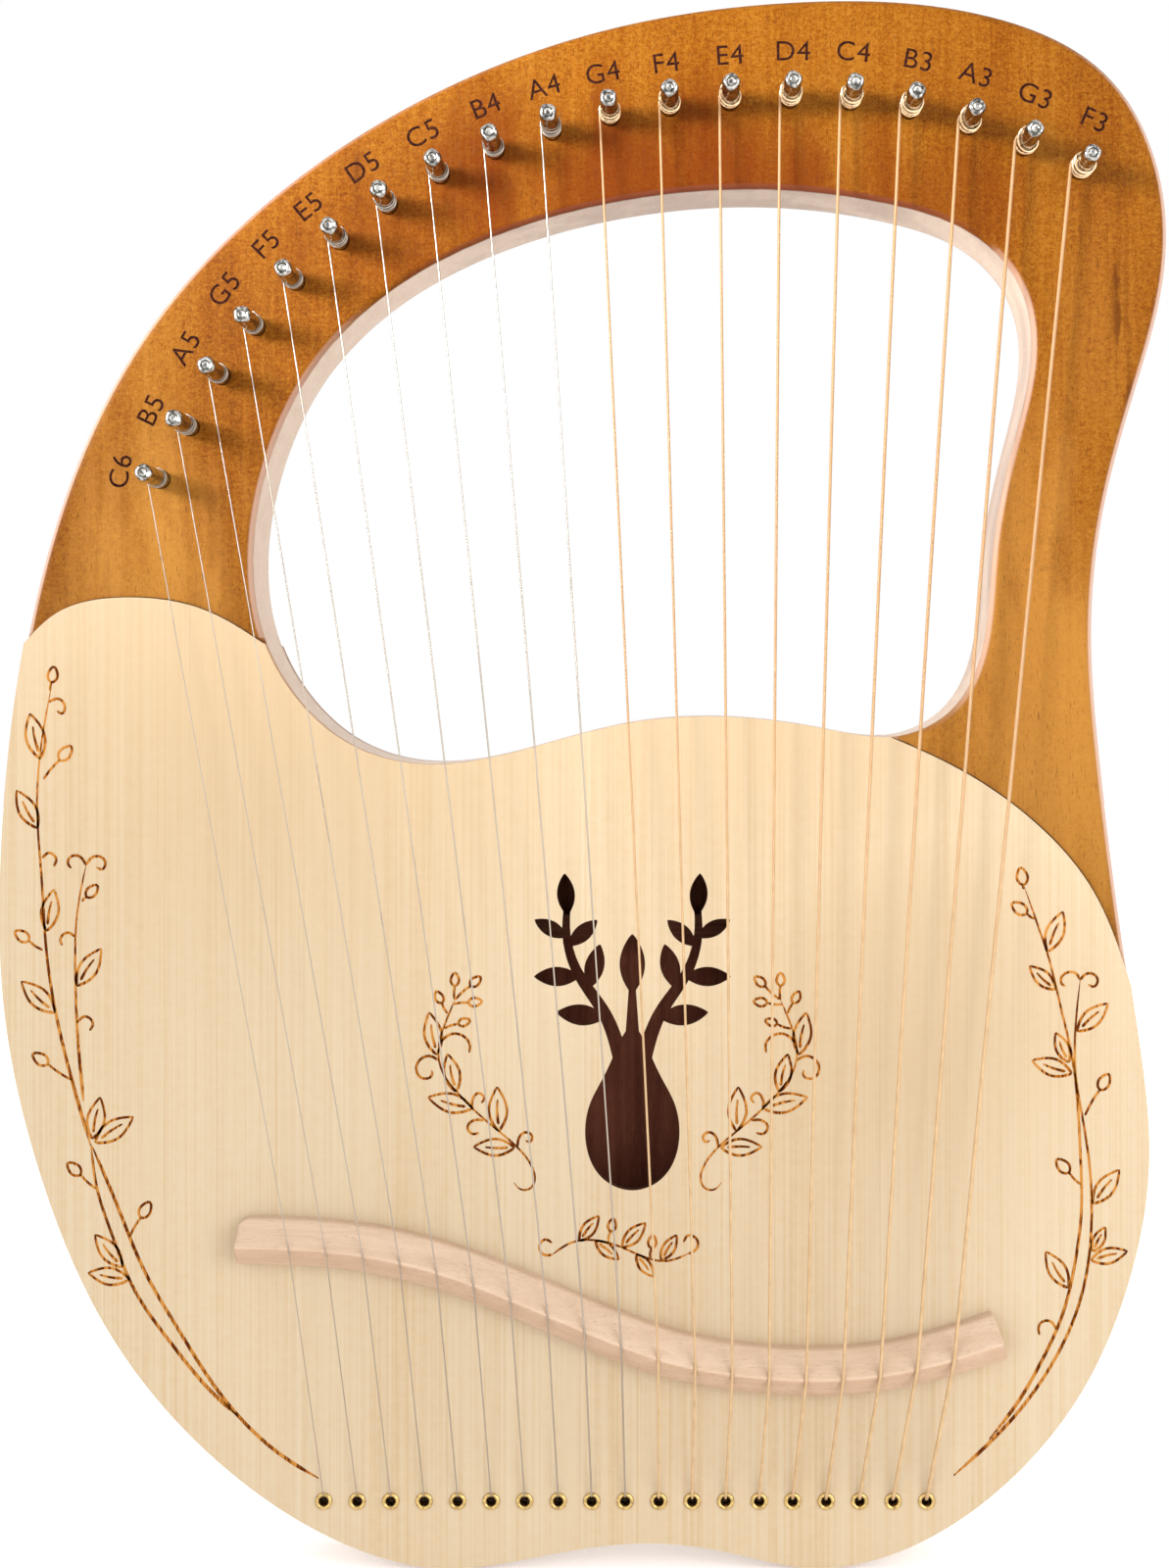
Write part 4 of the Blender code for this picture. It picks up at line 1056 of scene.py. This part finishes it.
def make_bridge(ridge, crossings, radii, finishes):
    """The S-shaped bridge with a notch under each string and a rounded upper left corner."""
    line = np.array(ridge)
    across = sideways(line)
    walked = distance_along(line)
    shell = bmesh.new()
    rings = []
    lower_facet = []
    for (x, z), side, far in zip(line, across, walked):
        rise = 0.0
        for (cross_x, _), radius in zip(crossings, radii):
            reach = radius + NOTCH_MARGIN
            if abs(x - cross_x) < reach:
                depth = NOTCH_DEPTH + NOTCH_SHARE * radius
                rise = max(rise, depth * (1 - ((x - cross_x) / reach) ** 2))
        end = min(far, walked[-1] - far)
        ease = min(end / BRIDGE_CORNER, 1.0)
        shrink = BRIDGE_CORNER * (1 - (1 - (1 - ease) ** 2) ** 0.5)
        left_round = max(0.0, 1 - far / BRIDGE_END_ROUND)
        upper_cut = BRIDGE_END_ROUND * (1 - (1 - left_round ** 2) ** 0.5)
        ring = []
        for offset, height in bridge_section(rise):
            # Vertices of the lower facet are marked for painted shade in the beech finish.
            lower_facet.append(1.0 if offset < -0.5 * BRIDGE_CROWN else 0.0)
            if offset > 0:
                offset = min(offset, BRIDGE_UPPER - upper_cut)
            offset -= np.sign(offset) * min(shrink, abs(offset))
            height = max(height - shrink, BRIDGE_FOOT)
            ring.append(shell.verts.new(((x + side[0] * offset) * MM, (FRONT_Y - height) * MM,
                                         (z + side[1] * offset) * MM)))
        rings.append(ring)
    join_rings(shell, rings)
    made = mesh_object("beech_bridge", shell, CRISP_BELOW)
    set_attribute(made, "lower_facet", lower_facet)
    made.data.materials.append(finishes["beech"])
    return show(made, "beech", "bridge")


def pin_profile():
    """A tuning pin from its tip in the wood to the dimple in its head, as (radius, height, squareness)."""
    tip = [(1.6, -PIN_DEPTH, 2.0), (2.2, -PIN_DEPTH + 0.6, 2.0), (PIN_RADIUS, -PIN_DEPTH + 1.4, 2.0)]
    shank = [(PIN_RADIUS, height, 2.0) for height in np.linspace(-18.0, 14.0, 15)]
    head = [(2.48, 14.3, 2.0), (2.36, 14.8, 2.2), (2.30, 15.4, 2.7), (2.30, 19.6, 2.7), (2.27, 20.05, 2.7),
            (2.17, 20.45, 2.6), (2.00, 20.76, 2.5), (1.78, 20.94, 2.4), (1.56, 21.0, 2.2)]
    dimple = [(1.38, 20.93, 2.0), (1.26, 20.72, 2.0), (1.14, 20.40, 2.0), (0.84, 20.22, 2.0),
              (0.42, 20.16, 2.0)]
    return tip + shank + head + dimple


def make_pin(note, number, centre, radius, finishes):
    """One tuning pin with a cross hole for its string."""
    rings = pin_profile()
    lean = SPIN[number]

    def shape(turn, step):
        power = rings[step][2]
        wide = abs(cos(turn - lean)) ** power + abs(sin(turn - lean)) ** power
        return wide ** (-1.0 / power)

    made = turned(f"pin_{note}", [ring[:2] for ring in rings], PIN_SIDES, False, shape)
    hole = bmesh.new()
    hole_radius = (radius + CROSS_HOLE_CLEARANCE) * MM
    bmesh.ops.create_cone(hole, cap_ends=True, segments=CROSS_HOLE_SIDES, radius1=hole_radius,
                          radius2=hole_radius, depth=CROSS_HOLE_LENGTH * MM)
    across = Matrix.Rotation(-hole_angle(number), 4, "Y") @ Matrix.Rotation(pi / 2, 4, "Y")
    bmesh.ops.transform(hole, matrix=move_by(0, -hole_lift(radius), 0) @ across, verts=hole.verts)
    cut_all(made, [mesh_object("cross_hole_cutter", hole)])
    made.data.transform(move_by(centre[0], NECK_Y, centre[1]))
    made.data.materials.append(finishes["chrome"])
    return show(made, "chrome", f"tuning_pin_{note}", body=f"pin_{note}")


def hole_lift(radius):
    """Height of a pin's cross hole above the yoke, just above its coil."""
    return STRING_LIFT + radius + GAP + COIL_TURNS * (2 * radius + COIL_SPACING) + CROSS_HOLE_RISE


def hole_angle(number):
    """Direction of a pin's cross hole, from +X towards +Z."""
    return SPIN[number] * 2.0 + 0.6


def coil_reach(radius):
    """Distance from a pin's middle to the middle of the string wound on it."""
    return PIN_RADIUS + radius + COIL_CLEARANCE


def coil_path(number, radius, start):
    """A closed first turn where the string arrives, then rising turns into the cross hole and out."""
    reach = coil_reach(radius)
    pitch = 2 * radius + COIL_SPACING
    into = hole_angle(number) + pi
    total = COIL_TURNS + ((start - 2 * pi * COIL_TURNS - into) % (2 * pi)) / (2 * pi)
    points = []
    steps = int(total * COIL_STEPS)
    for step in range(steps + 1):
        rise = pitch * max(0.0, step / COIL_STEPS - 1.0)
        turn = start - 2 * pi * (step / COIL_STEPS)
        points.append((reach * cos(turn), STRING_LIFT + rise, reach * sin(turn)))
    top = points[-1][1]
    lift = hole_lift(radius)
    last = start - 2 * pi * (steps / COIL_STEPS)
    climb = (last - into) % (2 * pi) + pi
    tail = []
    for step in range(1, TAIL_STEPS + 1):
        part = step / TAIL_STEPS
        ease = part * part * (3 - 2 * part)
        turn = last - climb * part
        tail.append((reach * cos(turn), top + (lift - top) * ease, reach * sin(turn)))
    end_turn = last - climb
    inward = np.array([-cos(end_turn), 0.0, -sin(end_turn)])
    on_pin = np.array(tail[-1])
    dive = [on_pin + inward * 0.9 + np.array([sin(end_turn), 0.0, -cos(end_turn)]) * 0.5,
            np.array([0.0, lift, 0.0]), -on_pin * [1, 0, 1] * 0.7 + [0, lift, 0]]
    path = points + tail + [tuple(point) for point in dive]
    return [(x, -height, z) for x, height, z in path]


def make_coil(note, number, centre, radius, start, finish, slot):
    """The turns of string on one pin."""
    path = np.array(coil_path(number, radius, start)) + [centre[0], NECK_Y, centre[1]]
    fine = smooth_curve([tuple(point) for point in path], len(path) * 2, False)
    share = CORE_SHARE if note in WOUND_NOTES else PLAIN_SHARE
    radii = [radius * (share if step > 8 else 1 - (1 - share) * step / 8) for step in range(len(fine))]
    made = sweep(f"coil_{note}", fine, radii, finish)
    return show(made, slot, body=f"pin_{note}")


def tangent_angle(centre, reach, start):
    """Angle on a circle, from +X towards +Z, where a line from start touches its left side."""
    away = Vector((start[0] - centre[0], start[1] - centre[1]))
    return atan2(away.y, away.x) - np.arccos(reach / away.length)


def make_string(note, pin, anchor, crossing, radius, finish, slot):
    """A string from its ball end, through its eyelet and over the bridge, to the turns on its pin."""
    reach = coil_reach(radius)
    start = tangent_angle(pin, reach, crossing)
    top = (pin[0] + reach * cos(start), NECK_Y - STRING_LIFT, pin[1] + reach * sin(start))
    ridge_y = FRONT_Y - RIDGE_HEIGHT - (1 - NOTCH_SHARE) * radius + NOTCH_DEPTH
    ball_front = BACK_Y - BALL_SUNK - BALL_LENGTH
    lip = (anchor[0], FRONT_Y - EYELET_LIP - radius, anchor[1] + EYELET_REACH)
    inside = [(anchor[0], ball_front + 1.0, anchor[1]), (anchor[0], 10.0, anchor[1] + 0.5),
              (anchor[0], 2.0, anchor[1] + 0.9 - radius),
              (anchor[0], FRONT_Y + 0.4, anchor[1] + 1.1 - radius)]
    across = np.array([crossing[0], ridge_y, crossing[1]])
    lead = across - np.array(lip)
    bend = [tuple(np.array(lip) + lead * part) for part in (0.0, 0.03, 0.07)]
    low = smooth_curve(inside + bend, STRING_FOOT_STEPS, False)
    route = low + [tuple(np.array(lip) + lead * part) for part in np.linspace(0.1, 0.97, 8)]
    rise = np.array(top) - across
    up = (0.0, 0.008, 0.02, *np.linspace(0.05, 1.0, STRING_STEPS))
    route += [tuple(across + rise * part) for part in up]
    route += [(pin[0] + reach * cos(start - turn), top[1], pin[1] + reach * sin(start - turn))
              for turn in (0.12, 0.24, 0.36)]
    radii = [radius] * (len(route) - 3) + [radius * 0.95, radius * 0.8, radius * CORE_SHARE]
    made = sweep(f"{note}_string", route, radii, finish)
    show(made, slot, f"string_{note}")
    return start


def make_eyelet(note, anchor, turn, finish):
    """A brass eyelet with a rolled flange."""
    profile = [(1.25, -2.9), (1.25, -0.3), (1.30, 0.14), (1.45, 0.42), (1.70, 0.58), (1.98, 0.60),
               (2.22, 0.50), (2.38, 0.30), (2.43, 0.10), (2.38, 0.02), (1.92, 0.01), (1.92, -2.9)]
    made = turned(f"eyelet_{note}", profile, EYELET_SIDES, True)
    made.data.transform(move_by(anchor[0], FRONT_Y, anchor[1]) @ Matrix.Rotation(turn, 4, "Y"))
    made.data.materials.append(finish)
    return show(made, None)


def make_ball(note, anchor, finish):
    """The grooved brass ball end of one string, in its seat at the back."""
    front = BALL_LENGTH / 2
    profile = [(0.55, front), (1.5, front), (1.85, front - 0.25), (BALL_RADIUS, front - 0.6), (1.95, 0.4),
               (1.7, 0.15), (1.7, -0.15), (1.95, -0.4), (BALL_RADIUS, 0.6 - front), (1.85, 0.25 - front),
               (1.5, -front), (0.8, -front), (0.6, 0.5 - front), (0.55, 0.9 - front)]
    made = turned(f"ball_{note}", profile, BALL_SIDES, True)
    made.data.transform(move_by(anchor[0], BACK_Y - BALL_SUNK - front, anchor[1]))
    made.data.materials.append(finish)
    return show(made, None)


def placed(root, angle, length, shape):
    """A shape's points, given as parts of its length ahead and to the left, set on its root."""
    turn = radians(angle)
    ahead = np.array([cos(turn), sin(turn)])
    left = np.array([-sin(turn), cos(turn)])
    return [tuple(np.array(root) + ahead * length * far + left * length * wide) for far, wide in shape]


class Drawing:
    """Burnt lines on the soundboard, gathered into one mesh of shallow closed strokes."""

    def __init__(self):
        self.shell = bmesh.new()

    def line(self, points, start_width, end_width, closed=False):
        """One stroke along a smooth curve, a little wider in its middle than at its tips."""
        reach = sum(np.hypot(b[0] - a[0], b[1] - a[1]) for a, b in zip(points, points[1:]))
        steps = max(6, int(reach / INK_STEP))
        line = np.array(smooth_curve(points, steps, closed))
        part = np.linspace(0.0, 1.0, len(line))
        width = (start_width + (end_width - start_width) * part) * INK_SPREAD
        if not closed:
            width = width * np.clip(np.minimum(part, 1 - part) * 12 + 0.35, 0.0, 1.0)
        across = sideways(line, closed)
        left = line + across * width[:, None] / 2
        right = line - across * width[:, None] / 2
        rings = []
        for (left_x, left_z), (right_x, right_z) in zip(left, right):
            corners = [(left_x, FRONT_Y - INK_PROUD, left_z), (right_x, FRONT_Y - INK_PROUD, right_z),
                       (right_x, FRONT_Y + INK_SUNK, right_z), (left_x, FRONT_Y + INK_SUNK, left_z)]
            rings.append([self.shell.verts.new((x * MM, y * MM, z * MM)) for x, y, z in corners])
        join_rings(self.shell, rings, closed)

    def leaf(self, x, z, length, angle):
        """A pointed leaf: two curved sides and a short vein."""
        for side in (1, -1):
            shape = [(far, side * wide) for far, wide in LEAF_SIDE]
            self.line(placed((x, z), angle, length, shape), INK_WIDTH * 0.95, INK_WIDTH * 0.75)
        self.line(placed((x, z), angle, length, LEAF_VEIN), INK_WIDTH, INK_WIDTH * 0.6)

    def berry(self, x, z, stalk, angle, length):
        """A small pointed berry on a curved stalk."""
        bend = placed((x, z), angle, 1.0, [(0.0, 0.0), (stalk * 0.5, 0.25), (stalk, 0.0)])
        self.line(bend, INK_WIDTH * 0.8, INK_WIDTH * 0.8)
        self.line(placed(bend[-1], angle, length, BERRY), INK_WIDTH * 0.85, INK_WIDTH * 0.85, closed=True)

    def draw(self, sprig, mirror_x=None):
        """Everything in one sprig, mirrored left to right about mirror_x when it is given."""
        def flip(points):
            return points if mirror_x is None else [(2 * mirror_x - x, z) for x, z in points]

        def facing(angle):
            return angle if mirror_x is None else 180.0 - angle

        for points, (start, end) in sprig["stems"]:
            self.line(flip(points), start, end)
        for x, z, length, angle in sprig["leaves"]:
            self.leaf(*flip([(x, z)])[0], length, facing(angle))
        for x, z, stalk, angle, length in sprig["berries"]:
            self.berry(*flip([(x, z)])[0], stalk, facing(angle), length)
        for points in sprig["curls"]:
            self.line(flip(points), INK_WIDTH * 0.9, INK_WIDTH * 0.8)

    def done(self, name, finish):
        """Turn the strokes into a finished piece."""
        made = mesh_object(name, self.shell, CRISP_BELOW)
        made.data.transform(move_by(SHIFT_X, 0, SHIFT_Z))
        made.data.materials.append(finish)
        return show(made, None)


def make_drawings(finish):
    """The five burnt drawings, one mesh each."""
    for name, sprig, mirror_x in [("left_vine", LEFT_VINE, None), ("right_vine", RIGHT_VINE, None),
                                  ("left_laurel", LAUREL, None), ("right_laurel", LAUREL, LAUREL_MIRROR_X),
                                  ("flourish", FLOURISH, None)]:
        drawing = Drawing()
        drawing.draw(sprig, mirror_x)
        drawing.done(name, finish)


def make_labels(pins, finish):
    """The note names, standing out from the row of pins along its curve."""
    places = np.array(pins)
    outwards = sideways(places)
    for number, note in enumerate(NOTES):
        out = outwards[number]
        along = np.array([out[1], -out[0]])
        distance = np.interp(number, *zip(*LABEL_OUT))
        middle = places[number] + out * distance + along * LABEL_ALONG[number]
        lean = atan2(along[1], along[0]) + radians(np.interp(number, *zip(*LABEL_LEAN)))
        text = bpy.data.curves.new(f"label_{note}", "FONT")
        text.body = note
        text.size = LABEL_SIZE * MM
        text.align_x = "CENTER"
        text.align_y = "CENTER"
        text.extrude = LABEL_THICKNESS * MM
        text.space_character = LABEL_SPACING
        drawn = link(bpy.data.objects.new(f"label_{note}_text", text))
        drawn.matrix_world = (move_by(middle[0], NECK_Y + LABEL_SUNK, middle[1])
                              @ Matrix.Rotation(-lean, 4, "Y") @ Matrix.Rotation(pi / 2, 4, "X"))
        mesh = evaluated_mesh(drawn)
        bpy.data.objects.remove(drawn)
        made = link(bpy.data.objects.new(f"label_{note}", mesh))
        mesh.materials.clear()
        mesh.materials.append(finish)
        show(made, None)


# ---------------------------------------------------------------- stage

def make_stage():
    """A plain pale floor, a white surround, soft lights and the photograph's view."""
    scene = bpy.context.scene
    scene.view_settings.view_transform = "Standard"
    shell = bmesh.new()
    bmesh.ops.create_circle(shell, cap_ends=True, segments=FLOOR_SIDES, radius=FLOOR_RADIUS)
    floor = mesh_object("floor", shell)
    floor.location.z = -FLOOR_DROP
    f = Finish("floor_paper", roughness=0.9, specular_ior_level=0.1)
    f.set("base color", f.ramp(f.noise(0.004, 0.004, 0.004, 3.0), (0.3, (0.90,) * 3), (0.7, (0.93,) * 3)))
    f.set("emission color", (1.0, 1.0, 1.0))
    f.set("emission strength", FLOOR_GLOW)
    floor.data.materials.append(f.material)

    world = bpy.data.worlds.new("white_surround")
    world.use_nodes = True
    surround = world.node_tree.nodes["Background"].inputs
    surround["Color"].default_value = (1.0, 1.0, 1.0, 1.0)
    surround["Strength"].default_value = 1.0
    scene.world = world

    for name, place, aim, size, spread, power in LAMPS:
        light = bpy.data.lights.new(name, "AREA")
        light.size = size
        light.spread = radians(spread)
        light.energy = power
        lamp = link(bpy.data.objects.new(name, light))
        lamp.location = place
        lamp.rotation_euler = (Vector(aim) - lamp.location).to_track_quat("-Z", "Y").to_euler()

    data = bpy.data.cameras.new("view")
    data.sensor_width = CAMERA_SENSOR
    data.lens = CAMERA_LENS
    data.shift_x, data.shift_y = CAMERA_SHIFT
    camera = link(bpy.data.objects.new("view", data))
    camera.location = CAMERA_PLACE
    camera.rotation_euler = (pi / 2, 0.0, 0.0)
    scene.camera = camera


# ---------------------------------------------------------------- the whole harp

outer_line = smooth_curve(OUTLINE, OUTLINE_STEPS * FINE, True)
opening_line = smooth_curve(OPENING, OPENING_STEPS * FINE, True)
coarse = np.array(outer_line[::FINE])
SHIFT_X = -(coarse[:, 0].min() + coarse[:, 0].max()) / 2
SHIFT_Z = -coarse[:, 1].min()
left_border, right_border = border_lines(outer_line, opening_line)
board_line = moved(board_outline(outer_line, opening_line, left_border, right_border))
ridge_line = moved(smooth_curve(RIDGE, RIDGE_STEPS, False))
pin_places = moved(smooth_curve(PIN_LINE, len(NOTES) - 1, False))
anchor_places = moved(anchor_points())
crossing_places = crossing_points(ridge_line)
SPIN = np.random.default_rng(19).uniform(0.0, pi / 2, len(NOTES))

finishes = {
    "amber": amber_wood(), "spruce": spruce(), "chamber": shaded_chamber_wood(), "burnt_edge": burnt_edge(),
    "beech": beech("beech_fine", (0.630, 0.470, 0.345), (0.520, 0.365, 0.250)),
    "brace": shaded_brace_wood(), "ink": burnt_line(), "label": label_ink(),
    # The chrome's dark marks are partly tarnish and partly painted reflection of dark surroundings.
    "chrome": metal("chrome_fine", (0.60, 0.58, 0.54), 0.15, (0.9, 0.9, 0.9), 0.16),
    "steel": metal("steel_string_fine", (0.40, 0.345, 0.29), 0.34, (0.1, 0.1, 0.03), 0.86),
    "brass": metal("brass_fine", (0.70, 0.50, 0.20), 0.24, (1.2, 1.2, 1.2), 0.6),
    "wound": wound_string(),
    "core": metal("string_core_fine", (0.92, 0.66, 0.40), 0.30, (0.9, 0.9, 0.9), 0.75),
}

make_frame(moved(outer_line), moved(opening_line), moved(rebate_outline(left_border, right_border)),
           pin_places, anchor_places, finishes)
make_soundboard(board_line, anchor_places, finishes)
make_back(board_line, moved(left_border + right_border), anchor_places, finishes)
make_bridge(ridge_line, crossing_places, string_radii(), finishes)
row = zip(NOTES, pin_places, anchor_places, crossing_places, string_radii())
for place_in_row, (note_name, pin_place, anchor_place, crossing_place, string_radius) in enumerate(row):
    wound = note_name in WOUND_NOTES
    wire = finishes["wound" if wound else "steel"]
    wire_slot = "bronze_string" if wound else "steel_string"
    make_pin(note_name, place_in_row, pin_place, string_radius, finishes)
    touch = make_string(note_name, pin_place, anchor_place, crossing_place, string_radius, wire, wire_slot)
    make_coil(note_name, place_in_row, pin_place, string_radius, touch,
              finishes["core"] if wound else wire, wire_slot)
    make_eyelet(note_name, anchor_place, SPIN[place_in_row], finishes["brass"])
    make_ball(note_name, anchor_place, finishes["brass"])
make_drawings(finishes["ink"])
make_labels(pin_places, finishes["label"])
# The braces inside take the dark finish that paints the shade in the closed body.
for node in ("bridge_plate", "soundboard_brace", "upper_back_brace", "lower_back_brace"):
    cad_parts[node].material_slots[0].material = finishes["brace"]

make_stage()
